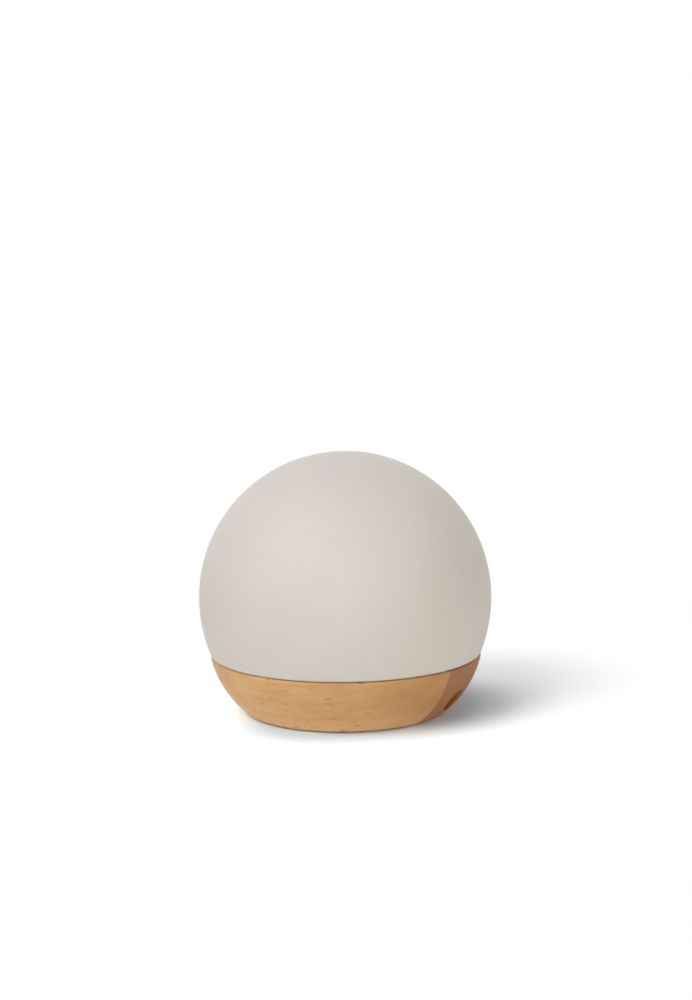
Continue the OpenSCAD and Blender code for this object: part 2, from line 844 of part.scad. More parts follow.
module charging_lead_red() {
    color("Red") wire(charging_route(1));
}

module charging_lead_black() {
    color("Black") wire(charging_route(-1));
}

// CHARGING SOCKET

module charging_board() {
    board_z = charging_board_top_z - charging_board_t;
    color("ForestGreen") difference() {
        translate([0, 0, board_z]) union() {
            translate([charging_board_inner_x, -charging_board_wide / 2, 0])
                cube([charging_board_neck_x - charging_board_inner_x, charging_board_wide,
                      charging_board_t]);
            translate([charging_board_inner_x, -charging_board_narrow / 2, 0])
                cube([socket_face_x - insert_wall - loose_fit - charging_board_inner_x,
                      charging_board_narrow, charging_board_t]);
        }
        at_points(charging_points(), board_z - eps)
            cylinder(d = screw_hole_d, h = charging_board_t + 2 * eps);
    }
}

module charging_board_screws() {
    color("Silver") at_points(charging_points(), charging_board_top_z - charging_board_t)
        pan_screw(charging_screw_l + charging_board_t - 1);
}

// The socket's obround steel shell, open in front
module charging_shell() {
    color("Silver") difference() {
        along_x(shell_back_x, shell_back_x + shell_l, socket_z) obround(shell_w, shell_h);
        along_x(shell_back_x - eps, shell_back_x + shell_l + eps, socket_z)
            obround(shell_w - 2 * shell_wall, shell_h - 2 * shell_wall);
    }
}

// The moulded tongue that carries the contacts, on the block that closes the shell's back
module charging_tongue() {
    front_x = shell_back_x + shell_l - shell_recess - 0.6;
    block_w = shell_w - 2 * shell_wall - 2 * slide_fit;
    block_h = shell_h - 2 * shell_wall - 2 * slide_fit;
    color("Black") union() {
        along_x(shell_back_x, front_x - tongue_l, socket_z) obround(block_w, block_h);
        along_x(shell_back_x, front_x, socket_z) square([tongue_w, tongue_t], center = true);
    }
}

// The moulded plug that closes the recess round the socket's mouth
module charging_insert() {
    mouth_w = shell_w + 2 * close_fit;
    mouth_h = shell_h + 2 * close_fit;
    color("SaddleBrown") difference() {
        along_x(insert_back_x, socket_face_x, socket_z)
            obround(recess_w - 2 * close_fit, recess_h - 2 * close_fit);
        along_x(insert_back_x - eps, socket_face_x - insert_wall, insert_pocket_z)
            square([insert_pocket_w, insert_pocket_h], center = true);
        along_x(insert_back_x - eps, socket_face_x + eps, socket_z) obround(mouth_w, mouth_h);
    }
}

// SWITCH, BUTTON, COVER AND FOOT

module switch_housing() {
    color("Black") difference() {
        translate([button_x, 0, 0]) union() {
            translate([-switch_w / 2, -switch_w / 2, switch_z]) cube([switch_w, switch_w, switch_h]);
            for (sx = [-1, 1]) for (sy = [-1, 1])
                translate([sx * (switch_w + switch_foot.x) / 2, sy * switch_w / 3, main_board_z])
                    translate([0, 0, -switch_foot.z / 2]) cube(switch_foot, center = true);
        }
        translate([button_x, 0, switch_z - eps])
            cylinder(d = plunger_d + 2 * slide_fit, h = plunger_in + button_travel + loose_fit);
    }
}

module switch_plunger() {
    color("White") translate([button_x, 0, plunger_z]) cylinder(d = plunger_d, h = plunger_out + plunger_in);
}

// The cap that shows underneath, with a flange above the cover and a post to the plunger
module power_button() {
    edge = 0.5;
    cap_z = wood_z + button_recess;
    color("WhiteSmoke") translate([button_x, 0, 0]) union() {
        translate([0, 0, cap_z]) cylinder(r1 = button_r - edge, r2 = button_r, h = edge);
        translate([0, 0, cap_z + edge]) cylinder(r = button_r, h = cover_top_z - cap_z - edge + eps);
        translate([0, 0, cover_top_z]) cylinder(r = button_r + button_flange_w, h = button_flange_t);
        translate([0, 0, cover_top_z]) cylinder(d = plunger_d + 1, h = plunger_z - cover_top_z);
    }
}

module bottom_cover() {
    lead_in = 0.4;
    collar_in = button_r + button_flange_w + close_fit;
    color("Gainsboro") difference() {
        union() {
            translate([0, 0, wood_z]) cylinder(r1 = cover_r - lead_in, r2 = cover_r, h = lead_in);
            translate([0, 0, wood_z + lead_in]) cylinder(r = cover_r, h = cover_t - lead_in);
            translate([button_x, 0, cover_top_z - fuse])
                cylinder(r = collar_in + button_collar_t, h = fuse + button_collar_h);
        }
        translate([button_x, 0, 0]) cylinder(r = button_r + close_fit, h = far);
        translate([button_x, 0, cover_top_z]) cylinder(r = collar_in, h = far);
        on_circle(cover_screw_circle_r, cover_screw_angles) translate([0, 0, wood_z]) {
            translate([0, 0, -eps]) cylinder(d = screw_hole_d, h = far);
            cylinder(r1 = cover_screw_head_r + close_fit, r2 = screw_hole_d / 2, h = cover_screw_head_h);
        }
        ring(foot_r - foot_w - close_fit, foot_r + close_fit, wood_z - eps, wood_z + foot_groove);
    }
}

module cover_screws() {
    color("Silver") on_circle(cover_screw_circle_r, cover_screw_angles)
        translate([0, 0, wood_z]) countersunk_screw(cover_t + cover_screw_l - 1);
}

module foot_ring() {
    color("DimGray") ring(foot_r - foot_w, foot_r, 0, wood_z + foot_groove);
}

glass_globe();
beech_board_main();
beech_board_side();
globe_seat_ring();
light_tray();
tray_screws();
thermal_pad();
light_board();
light_chips();
light_board_screws();
reflector_ring();
diffuser_dome();
diffuser_screws();
battery_cell();
battery_terminals();
battery_foam();
battery_strap();
battery_strap_screws();
main_board();
main_board_chips();
main_board_coil();
main_board_screws();
battery_socket();
battery_plug();
battery_lead_red();
battery_lead_black();
light_socket();
light_plug();
light_lead_red();
light_lead_black();
charging_board();
charging_board_screws();
charging_shell();
charging_tongue();
charging_insert();
charging_lead_red();
charging_lead_black();
switch_housing();
switch_plunger();
power_button();
bottom_cover();
cover_screws();
foot_ring();
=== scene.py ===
"""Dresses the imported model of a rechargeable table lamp: an opal glass globe in a turned beech base.

The globe, the two beech boards, the foot ring, the button and the charging socket are made anew as surfaces
worked out with numpy, in the places of their CAD nodes. Every other node keeps its own mesh and gets a
finish. Sizes are in millimetres in the classes and turn to metres when a mesh is made.
"""

from __future__ import annotations

import json
import logging
import math
from dataclasses import dataclass, field
from enum import Enum

import bmesh
import bpy
import numpy as np
from mathutils import Matrix, Vector
from numpy.typing import ArrayLike

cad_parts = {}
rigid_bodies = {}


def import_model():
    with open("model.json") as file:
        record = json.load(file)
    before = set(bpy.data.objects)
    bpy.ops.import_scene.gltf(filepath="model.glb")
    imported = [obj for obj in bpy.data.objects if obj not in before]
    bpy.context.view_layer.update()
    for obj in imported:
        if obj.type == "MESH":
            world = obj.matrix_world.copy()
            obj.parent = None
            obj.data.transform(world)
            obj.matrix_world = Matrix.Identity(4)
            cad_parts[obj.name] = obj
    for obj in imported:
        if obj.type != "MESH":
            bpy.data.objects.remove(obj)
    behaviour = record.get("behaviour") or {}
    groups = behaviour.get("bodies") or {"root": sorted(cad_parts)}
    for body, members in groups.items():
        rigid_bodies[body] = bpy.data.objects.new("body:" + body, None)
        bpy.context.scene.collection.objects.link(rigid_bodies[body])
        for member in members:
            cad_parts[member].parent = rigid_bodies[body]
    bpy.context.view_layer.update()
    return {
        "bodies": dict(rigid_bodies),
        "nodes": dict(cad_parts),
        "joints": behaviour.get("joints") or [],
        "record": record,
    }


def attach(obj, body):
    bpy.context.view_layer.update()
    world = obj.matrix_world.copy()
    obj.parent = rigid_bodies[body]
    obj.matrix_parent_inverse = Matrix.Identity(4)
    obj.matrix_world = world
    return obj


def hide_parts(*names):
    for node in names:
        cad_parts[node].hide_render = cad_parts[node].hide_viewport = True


LOG = logging.getLogger("lamp")
MM = 0.001
LAMP = "lamp"
BUTTON = "button"
WELD = 2e-6
SHARP_ANGLE = 32
WHITE = (1.0, 1.0, 1.0, 1.0)
LEAST_ROUGHNESS = 0.02
TONE_BAND = (0.35, 0.65)  # the part of a noise's values that leads from one tone to the other
GRAIN_BAND = (0.3, 0.7)  # the part of a grain's values that leads from its smooth to its rough places
GENTLY = {"interpolation_type": "SMOOTHSTEP"}  # for a range that leaves and arrives gently
IN_COLOUR = {"data_type": "RGBA"}  # for a mix, whose colours are its inputs 6 and 7 and its output 2
Tree = bpy.types.NodeTree
Socket = bpy.types.NodeSocket


# Shapes


def unit(vectors: np.ndarray) -> np.ndarray:
    """Each vector divided by its own length."""
    return vectors / np.linalg.norm(vectors, axis=-1, keepdims=True)


def arc(centre: tuple[float, float], radius: float, start: float, end: float, count: int) -> np.ndarray:
    """Even steps of a circle's arc in degrees: the centre plus the radius times each cosine and sine."""
    angle = np.radians(np.linspace(start, end, count))
    return np.asarray(centre) + radius * np.stack([np.cos(angle), np.sin(angle)], axis=1)


def eased(path: np.ndarray, radii: ArrayLike, steps: int) -> np.ndarray:
    """Rounds the inner corners of a path.

    Each corner becomes an arc whose centre lies on the bisector, at the radius over the sine of half the
    corner's angle. A point of the arc is the centre plus a blend of the two end spokes, weighted by the sines
    of the turn that is still to come and of the turn already made, over the sine of the whole turn.

    Args:
        path: the corners in order, with the first and the last left out of the result.
        radii: one radius for all inner corners, or one for each.
        steps: the arc's number of steps.

    Returns:
        The arcs' points in order.
    """
    corner = path[1:-1]
    radius = np.broadcast_to(np.asarray(radii, float), (len(corner),))[:, None]
    back, ahead = unit(path[:-2] - corner), unit(path[2:] - corner)
    half = 0.5 * np.arccos(np.clip((back * ahead).sum(axis=1, keepdims=True), -1, 1))
    centre = corner + unit(back + ahead) * radius / np.sin(half)
    first = corner + back * radius / np.tan(half) - centre
    last = corner + ahead * radius / np.tan(half) - centre
    turn = (math.pi - 2 * half)[:, None, :]
    share = np.linspace(0, 1, steps + 1)[None, :, None]
    blend = np.sin((1 - share) * turn) * first[:, None, :] + np.sin(share * turn) * last[:, None, :]
    return (centre[:, None, :] + blend / np.sin(turn)).reshape(-1, 2)


def corner_centre(disc: np.ndarray, radius: float, ease: float, flat: float, up: int) -> np.ndarray:
    """Centre of the arc that rounds a disc's corner with a flat, whose material is above it if up is 1."""
    # It lies ease inside the flat, and at the radius less ease from the disc's centre: so its offset along
    # the flat is the root of that squared less the height squared
    rise = flat + up * ease - disc[1]
    return disc + np.array([math.sqrt((radius - ease) ** 2 - rise**2), rise])


def bearing(origin: np.ndarray, target: np.ndarray) -> float:
    """Angle in degrees of the line from one point to another."""
    return math.degrees(math.atan2(target[1] - origin[1], target[0] - origin[0]))


def stepped(radii: list[float], heights: list[float]) -> np.ndarray:
    """Corners of a section that goes upright at each radius in turn, from one height to the next."""
    return np.column_stack([np.repeat(radii, 2), np.repeat(heights, 2)[1:-1]])


def turned(profile: np.ndarray, angles: np.ndarray, axis: tuple[float, float] = (0, 0)) -> np.ndarray:
    """A profile carried round an upright axis: its radius times each cosine and sine, at its height.

    Args:
        profile: rows of radius and height.
        angles: the angles in radians.
        axis: where the axis stands.

    Returns:
        A grid of points with a row for each profile point and a column for each angle.
    """
    radius, height = profile[:, :1], profile[:, 1:]
    x = axis[0] + radius * np.cos(angles)
    y = axis[1] + radius * np.sin(angles)
    return np.stack([x, y, np.broadcast_to(height, x.shape)], axis=-1)


def obround(width: float, height: float, count: int) -> np.ndarray:
    """Outline of a slot: a circle of its height whose two halves are pulled apart until it has its width.

    Args:
        width: the slot's whole width.
        height: the slot's whole height.
        count: points in the outline.

    Returns:
        The points, from the width's axis round.
    """
    angle = (np.arange(count) + 0.5) * 2 * math.pi / count
    pull = (width - height) / 2 * np.sign(np.cos(angle))
    return np.stack([pull + height / 2 * np.cos(angle), height / 2 * np.sin(angle)], axis=1)


def slot_reach(direction: np.ndarray, width: float, height: float) -> np.ndarray:
    """How far a slot's outline is from its middle in each direction.

    A ray that leaves by a straight side meets it at half the height over its sine. Any other ray meets an end
    circle, at the straight half-length times its cosine plus the root of the end's radius squared less the
    straight half-length times its sine squared.

    Args:
        direction: angles in radians.
        width: the slot's whole width.
        height: the slot's whole height.

    Returns:
        The distances.
    """
    straight, end = (width - height) / 2, height / 2
    across, along = np.abs(np.sin(direction)), np.abs(np.cos(direction))
    by_side = end / np.maximum(across, 1e-9)
    by_end = straight * along + np.sqrt(np.maximum(end**2 - (straight * across) ** 2, 0))
    return np.where(by_side * along <= straight, by_side, by_end)


def facing_x(rings: list[tuple[float, float, float, float]], count: int) -> np.ndarray:
    """Slot outlines that face along X, one for each ring.

    Args:
        rings: for each ring its x, its width along Y, its height along Z and its middle's height.
        count: points in each outline.

    Returns:
        A grid of points with a row for each ring.
    """
    outlines = [
        np.column_stack([np.full(count, x), *(obround(width, height, count) + [0, middle]).T])
        for x, width, height, middle in rings
    ]
    return np.stack(outlines)


def quads(rows: int, columns: int, ring: bool = False, loop: bool = False) -> np.ndarray:
    """Faces between neighbours of a grid whose points are numbered row by row.

    Args:
        rows: the grid's rows.
        columns: the grid's columns.
        ring: whether the last column joins the first.
        loop: whether the last row joins the first.

    Returns:
        Four point numbers for each face.
    """
    i = np.arange(rows if loop else rows - 1)[:, None]
    j = np.arange(columns if ring else columns - 1)[None, :]
    below, beside = (i + 1) % rows, (j + 1) % columns
    faces = [i * columns + j, i * columns + beside, below * columns + beside, below * columns + j]
    return np.stack(np.broadcast_arrays(*faces), axis=-1).reshape(-1, 4)


@dataclass
class Surface:
    """Points and faces that are gathered from patches and become one mesh."""

    points: list[np.ndarray] = field(default_factory=list)
    faces: list[list[int]] = field(default_factory=list)

    def add(self, points: np.ndarray, faces: np.ndarray | list[range]) -> Surface:
        """Adds a patch whose faces number its own points.

        Args:
            points: the patch's points, in millimetres.
            faces: its faces.

        Returns:
            This surface.
        """
        start = sum(len(p) for p in self.points)
        self.points.append(np.reshape(points, (-1, 3)))
        self.faces.extend([start + k for k in face] for face in np.asarray(faces).tolist())
        return self

    def spin(
        self, profile: np.ndarray, count: int, axis: tuple[float, float] = (0, 0), loop: bool = False
    ) -> Surface:
        """Adds a profile of radius and height that is carried once round an upright axis, in count steps."""
        angles = np.linspace(0, 2 * math.pi, count, endpoint=False)
        return self.add(turned(profile, angles, axis), quads(len(profile), count, ring=True, loop=loop))

    def piece(self, name: str, body: str, finish: Finish, *nodes: str) -> None:
        """Makes the mesh, welds its patches and places it in the frame.

        Args:
            name: the piece's name.
            body: the CAD body that it rides on.
            finish: its finish, whose material the mesh takes.
            nodes: the CAD nodes that it replaces.
        """
        mesh = bpy.data.meshes.new(name)
        mesh.from_pydata((np.concatenate(self.points) * MM).tolist(), [], self.faces)
        work = bmesh.new()
        work.from_mesh(mesh)
        bmesh.ops.remove_doubles(work, verts=work.verts, dist=WELD)
        bmesh.ops.delete(work, geom=[v for v in work.verts if not v.link_faces], context="VERTS")
        bmesh.ops.recalc_face_normals(work, faces=work.faces)
        work.to_mesh(mesh)
        work.free()
        mesh.polygons.foreach_set("use_smooth", np.ones(len(mesh.polygons), bool))
        mesh.set_sharp_from_angle(angle=math.radians(SHARP_ANGLE))
        mesh.materials.append(finish.material())
        piece = placed(name, mesh)
        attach(piece, body)
        if nodes:
            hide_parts(*nodes)
        LOG.info("%s: %d faces on %s", name, len(mesh.polygons), body)


# Finishes


def linear(hex_colour: str) -> tuple[float, float, float, float]:
    """Turns an sRGB hex colour to the linear one of the shaders: a straight foot, then the power of 2.4."""
    channels = [int(hex_colour[k : k + 2], 16) / 255 for k in (1, 3, 5)]
    return (*[c / 12.92 if c <= 0.04045 else ((c + 0.055) / 1.055) ** 2.4 for c in channels], 1.0)


def metres(*sizes: float) -> tuple[float, ...]:
    """Sizes in millimetres, turned to metres."""
    return tuple(size * MM for size in sizes)


def cleared(owner: bpy.types.Material | bpy.types.World) -> Tree:
    """Node tree of a material or a world, emptied.

    Args:
        owner: the material or the world.

    Returns:
        The empty tree.
    """
    owner.use_nodes = True
    owner.node_tree.nodes.clear()
    return owner.node_tree


def placed(name: str, data: bpy.types.ID) -> bpy.types.Object:
    """Puts an object into the scene.

    Args:
        name: the object's name.
        data: its mesh, light or camera.

    Returns:
        The object.
    """
    thing = bpy.data.objects.new(name, data)
    bpy.context.scene.collection.objects.link(thing)
    return thing


def add_node(
    tree: Tree, kind: str, *values: Socket | float | tuple, inputs: dict | None = None, **settings: str
) -> bpy.types.NodeOutputs:
    """Adds a node with its settings and links.

    Args:
        tree: the node tree.
        kind: the node's type name, without the ShaderNode that each starts with.
        values: what its first inputs take in order, each a value or the socket that feeds it.
        inputs: what its other inputs take, by name or number.
        settings: the node's own properties.

    Returns:
        The node's outputs.
    """
    node = tree.nodes.new(f"ShaderNode{kind}")
    for key, value in settings.items():
        setattr(node, key, value)
    for key, value in {**dict(enumerate(values)), **(inputs or {})}.items():
        if isinstance(value, bpy.types.NodeSocket):
            tree.links.new(value, node.inputs[key])
        else:
            node.inputs[key].default_value = value
    return node.outputs


class Relief(Enum):
    """How a surface was made, which sets the shape of its grain."""

    GRAINY = "grainy"
    BRUSHED = "brushed"
    CELLS = "cells"


@dataclass(frozen=True)
class Finish:
    """A material of the lamp, with the record's slot that it stands for."""

    name: str
    slot: str

    def dress(self, tree: Tree) -> dict[str, Socket | float]:
        """Adds the nodes that feed the shader, and gives back what each of its sockets takes."""
        raise NotImplementedError

    def material(self) -> bpy.types.Material:
        """Makes the material once, and gives the same one back after that.

        Returns:
            The material.
        """
        made = bpy.data.materials.get(self.name)
        if made is None:
            made = bpy.data.materials.new(self.name)
            tree = cleared(made)
            shader = add_node(tree, "BsdfPrincipled", inputs=self.dress(tree))[0]
            add_node(tree, "OutputMaterial", shader)
        return made


@dataclass(frozen=True)
class Grained(Finish):
    """A moulded, plated, printed or cut surface.

    Its colour drifts between two tones over a few millimetres, and a grain of a real size lifts the surface
    and varies its roughness.
    """

    colour: str
    drift: str
    roughness: float
    grain: float = 0.35
    depth: float = 0.01
    relief: Relief = Relief.GRAINY
    brushing: tuple[float, float, float] = (1, 1, 0.04)
    drift_size: float = 12
    roughness_play: float = 0.06
    metallic: float = 0
    ior: float = 1.5
    coat: float = 0
    subsurface: float = 0
    milk_reach: float = 2

    def dress(self, tree: Tree) -> dict[str, Socket | float]:
        """Drifts the colour by a slow noise, and takes relief and roughness from the grain.

        Args:
            tree: the material's node tree.

        Returns:
            What each of the shader's sockets takes.
        """
        place = add_node(tree, "TexCoord")["Object"]
        stretch = self.brushing if self.relief is Relief.BRUSHED else (1, 1, 1)
        drawn = add_node(tree, "Mapping", place, inputs={"Scale": stretch})[0]
        fine = {"Scale": 1 / (self.grain * MM)}
        if self.relief is Relief.CELLS:
            grain = add_node(tree, "TexVoronoi", drawn, inputs=fine)["Distance"]
        else:
            grain = add_node(tree, "TexNoise", drawn, inputs={**fine, "Detail": 2})[0]
        coarse = {"Scale": 1 / (self.drift_size * MM), "Detail": 3}
        slow = add_node(tree, "TexNoise", place, inputs=coarse)[0]
        blend = add_node(tree, "MapRange", slow, *TONE_BAND)[0]
        tones = {6: linear(self.colour), 7: linear(self.drift)}
        smoothest = max(self.roughness - self.roughness_play, LEAST_ROUGHNESS)
        roughest = min(self.roughness + self.roughness_play, 1.0)
        lifted = {"Strength": 1, "Distance": self.depth * MM, "Height": grain}
        sockets = {
            "Base Color": add_node(tree, "Mix", blend, inputs=tones, **IN_COLOUR)[2],
            "Roughness": add_node(tree, "MapRange", grain, *GRAIN_BAND, smoothest, roughest)[0],
            "Normal": add_node(tree, "Bump", inputs=lifted)[0],
            "Metallic": self.metallic,
            "Coat Weight": self.coat,
        }
        if self.subsurface:
            sockets |= {"Subsurface Weight": self.subsurface, "Subsurface Scale": self.milk_reach * MM}
        if not self.metallic:
            sockets["IOR"] = self.ior
        return sockets


@dataclass(frozen=True)
class OpalGlass(Finish):
    """Blown opal glass with an acid-etched skin.

    The glass is cloudy right through, so light spreads a few millimetres in it and no lamp shows as a hard
    spot. The etching leaves a satin of very fine pits, and the wall is a little uneven from blowing. Towards
    the recess's side the glass is painted a shade warmer, a painted warm light on that side.
    """

    colour: str = "#D9D3CB"
    cloud: str = "#D4CEC6"
    # warm is the tone of the painted warm light on the side towards the recess
    warm: str = "#DAD1C5"
    painted_warm_side_reach: tuple[float, float] = (15, 76)
    roughness: float = 0.58
    pit: float = 0.25
    pit_depth: float = 0.004
    wave: float = 38
    wave_depth: float = 0.05
    roughness_play: float = 0.04
    ior: float = 1.5
    subsurface: float = 0.35
    milk_reach: float = 4
    milk_tones: tuple[float, float, float] = (1.0, 0.9, 0.8)

    def dress(self, tree: Tree) -> dict[str, Socket | float]:
        """Sets cloudy glass, with pits and a slow wave in its relief.

        Args:
            tree: the material's node tree.

        Returns:
            What each of the shader's sockets takes.
        """
        place = add_node(tree, "TexCoord")["Object"]
        wave = add_node(tree, "TexNoise", place, inputs={"Scale": 1 / (self.wave * MM), "Detail": 1})[0]
        pits = add_node(tree, "TexNoise", place, inputs={"Scale": 1 / (self.pit * MM), "Detail": 2})[0]
        # Painted warm light: the colour turns warm along X, towards the recess's side
        beside = add_node(tree, "SeparateXYZ", place)[0]
        painted_warm_side = add_node(tree, "MapRange", beside, *metres(*self.painted_warm_side_reach))[0]
        colour = linear(self.colour)
        for share, tone in ((wave, self.cloud), (painted_warm_side, self.warm)):
            colour = add_node(tree, "Mix", share, inputs={6: colour, 7: linear(tone)}, **IN_COLOUR)[2]
        blown = {"Strength": 1, "Distance": self.wave_depth * MM, "Height": wave}
        uneven = add_node(tree, "Bump", inputs=blown)[0]
        etched = {"Strength": 1, "Distance": self.pit_depth * MM, "Height": pits, "Normal": uneven}
        span = (self.roughness - self.roughness_play, self.roughness + self.roughness_play)
        return {
            "Base Color": colour,
            "Roughness": add_node(tree, "MapRange", pits, *GRAIN_BAND, *span)[0],
            "Normal": add_node(tree, "Bump", inputs=etched)[0],
            "IOR": self.ior,
            "Subsurface Weight": self.subsurface,
            "Subsurface Scale": self.milk_reach * MM,
            "Subsurface Radius": self.milk_tones,
        }


@dataclass(frozen=True)
class Beech(Finish):
    """Turned and sanded beech under a clear matt oil.

    The fibres run along the glue line. Across them lie the rays, which show on the side as short dark flecks
    2 to 3 mm long, and the growth rings, which are faint. Where the side turns towards end grain, the wood
    has drunk more oil: it is darker and redder, and its flecks are gone. The glue line is a hair of darker
    wood. The wall of the recess is painted the deepest brown, a painted shade. Along X the board is painted
    darker towards the recess's end, a painted shade, and paler towards the foot, a painted light.
    """

    colour: str
    warm: str
    fleck: str
    end_grain: str
    # pale is the tone of the painted light towards the foot
    pale: str
    glue_offset: float
    # recess is the tone of the painted shade in the recess
    ring_middle: tuple[float, float]
    recess: str = "#AA6820"
    recess_flat: float = 1.5
    recess_radius: float = 5.2
    recess_blur: tuple[float, float] = (0.25, 0.05)
    recess_middle: float = 10.0
    recess_floor: float = 40.0
    ring_pitch: float = 5.2
    ring_band: tuple[float, float] = (0.55, 1)
    ring_strength: float = 0.07
    ring_length: float = 0.02
    ring_bend: float = 2.2
    bend_scale: float = 1.2
    drift: tuple[float, float, float] = (34, 20, 10)
    # The painted shade along X, then the painted light towards the foot: where each starts and ends, in mm,
    # and its strength
    painted_side_shade: tuple[float, float, float] = (8, 62, 0.5)
    foot: tuple[float, float, float] = (13, 0, 0.85)
    end_band: tuple[float, float] = (0.35, 0.95)
    end_strength: float = 0.2
    fibre: tuple[float, float, float] = (7.0, 0.35, 0.35)
    fibre_band: tuple[float, float] = (0.4, 0.75)
    fibre_strength: float = 0.22
    fleck_cell: tuple[float, float, float] = (7.5, 26.0, 1.0)
    fleck_edge: tuple[float, float] = (0.30, 0.17)
    fleck_share: float = 0.42
    fleck_full: float = 0.3
    fleck_least: float = 0.12
    side_band: tuple[float, float] = (0.9, 0.35)
    fleck_on_end: float = 0.1
    fleck_strength: float = 0.66
    glue_half: float = 0.16
    glue_strength: float = 0.5
    roughness: tuple[float, float] = (0.5, 0.62)
    relief: float = 0.012
    ior: float = 1.45

    def dress(self, tree: Tree) -> dict[str, Socket | float]:
        """Lays rings, fibres, flecks, end grain and glue line over the board's colour, in its own axes.

        Args:
            tree: the material's node tree.

        Returns:
            What each of the shader's sockets takes.
        """
        source = add_node(tree, "TexCoord")
        along = source["Object"]
        x, y, z = add_node(tree, "SeparateXYZ", along)
        endways = add_node(tree, "SeparateXYZ", source["Normal"])[0]
        lengthwise = add_node(tree, "Math", endways, operation="ABSOLUTE")[0]
        sizes = (self.drift, self.fibre, self.fleck_cell)
        scales = [tuple(1 / step for step in metres(*size)) for size in sizes]
        drawn = [add_node(tree, "Mapping", along, inputs={"Scale": scale})[0] for scale in scales]

        # Slow drift between the board's two tones, and fibres: noise drawn out along the board
        grained = {"Scale": 1, "Detail": 3}
        slow, fibres = (add_node(tree, "TexNoise", place, inputs=grained)[0] for place in drawn[:2])
        drift = add_node(tree, "MapRange", slow, *TONE_BAND)[0]
        fibre = add_node(tree, "MapRange", fibres, *self.fibre_band, 0, self.fibre_strength)[0]

        # The board is painted darker along X towards the end with the recess, in the end grain's tone: a
        # painted shade on the side away from the key light. It is painted paler towards the foot: a painted
        # light from the table below
        painted_side_shade = add_node(tree, "MapRange", x, *metres(*self.painted_side_shade[:2]), 0, self.painted_side_shade[2])[0]
        low = add_node(tree, "MapRange", z, *metres(*self.foot[:2]), 0, self.foot[2], **GENTLY)[0]

        # Growth rings round the pith, which lies outside the board: a wave of the distance from it, bent by
        # noise. The node's wave runs through 20 radians to the unit, so its scale is a turn over 20 pitches
        off_pith = {"Location": (0, *metres(*self.ring_middle)), "Scale": (self.ring_length, 1, 1)}
        from_pith = add_node(tree, "Mapping", along, inputs=off_pith)[0]
        kind = {"wave_type": "RINGS", "rings_direction": "X", "wave_profile": "SAW"}
        bent = {"Distortion": self.ring_bend, "Detail": 2, "Detail Scale": self.bend_scale}
        pitched = {"Scale": 2 * math.pi / (20 * self.ring_pitch * MM), **bent}
        rings = add_node(tree, "TexWave", from_pith, inputs=pitched, **kind)["Fac"]
        ring = add_node(tree, "MapRange", rings, *self.ring_band, 0, self.ring_strength, **GENTLY)[0]

        # Flecks: in a share of the cells of a stretched cell pattern, the part near the cell's middle
        cells = add_node(tree, "TexVoronoi", drawn[2], inputs={"Scale": 1})
        body = add_node(tree, "MapRange", cells["Distance"], *self.fleck_edge, **GENTLY)[0]
        chance = add_node(tree, "SeparateColor", cells["Color"])[0]
        picked = (self.fleck_share, self.fleck_share * self.fleck_full)
        chosen = add_node(tree, "MapRange", chance, *picked, self.fleck_least, 1)[0]
        shown = (self.fleck_on_end, self.fleck_strength)
        on_side = add_node(tree, "MapRange", lengthwise, *self.side_band, *shown, **GENTLY)[0]
        spot = add_node(tree, "Math", body, chosen, operation="MULTIPLY")[0]
        fleck = add_node(tree, "Math", spot, on_side, operation="MULTIPLY")[0]

        # End grain, where the side faces along the fibres
        ended = (*self.end_band, 0, self.end_strength)
        end_grain = add_node(tree, "MapRange", lengthwise, *ended, **GENTLY)[0]

        # The glue line, a hair wide, in the plane where the boards meet
        off_glue = add_node(tree, "Math", y, self.glue_offset * MM, operation="ADD")[0]
        apart = add_node(tree, "Math", off_glue, operation="ABSOLUTE")[0]
        glued = (self.glue_half * MM, 0, 0, self.glue_strength)
        glue = add_node(tree, "MapRange", apart, *glued, **GENTLY)[0]

        # The recess's wall, painted the deepest brown as a painted shade in the recess: the points whose
        # distance from the recess's middle line, its flat stretch left out, is within the cutter's radius
        aside = add_node(tree, "Math", y, operation="ABSOLUTE")[0]
        beyond = add_node(tree, "Math", aside, self.recess_flat * MM, operation="SUBTRACT")[0]
        past_flat = add_node(tree, "Math", beyond, 0, operation="MAXIMUM")[0]
        upward = add_node(tree, "Math", z, self.recess_middle * MM, operation="SUBTRACT")[0]
        spoke = add_node(tree, "CombineXYZ", past_flat, upward)[0]
        off_middle = add_node(tree, "VectorMath", spoke, operation="DISTANCE")["Value"]
        edge = metres(*(self.recess_radius + blur for blur in self.recess_blur))
        within = add_node(tree, "MapRange", off_middle, *edge)[0]
        outward = add_node(tree, "Math", x, self.recess_floor * MM, operation="GREATER_THAN")[0]
        painted_recess_shade = add_node(tree, "Math", within, outward, operation="MULTIPLY")[0]

        # The layers, from the lowest up: how much of each shows, and its colour
        layers = (
            (drift, self.warm),
            (painted_side_shade, self.end_grain),
            (low, self.pale),
            (ring, self.fleck),
            (fibre, self.end_grain),
            (fleck, self.fleck),
            (end_grain, self.end_grain),
            (glue, self.fleck),
            (painted_recess_shade, self.recess),
        )
        colour = linear(self.colour)
        for share, tone in layers:
            colour = add_node(tree, "Mix", share, inputs={6: colour, 7: linear(tone)}, **IN_COLOUR)[2]

        height = add_node(tree, "Math", fibres, fleck, operation="SUBTRACT")[0]
        lifted = {"Strength": 1, "Distance": self.relief * MM, "Height": height}
        return {
            "Base Color": colour,
            "Roughness": add_node(tree, "MapRange", fibres, *GRAIN_BAND, *self.roughness)[0],
            "Normal": add_node(tree, "Bump", inputs=lifted)[0],
            "IOR": self.ior,
        }


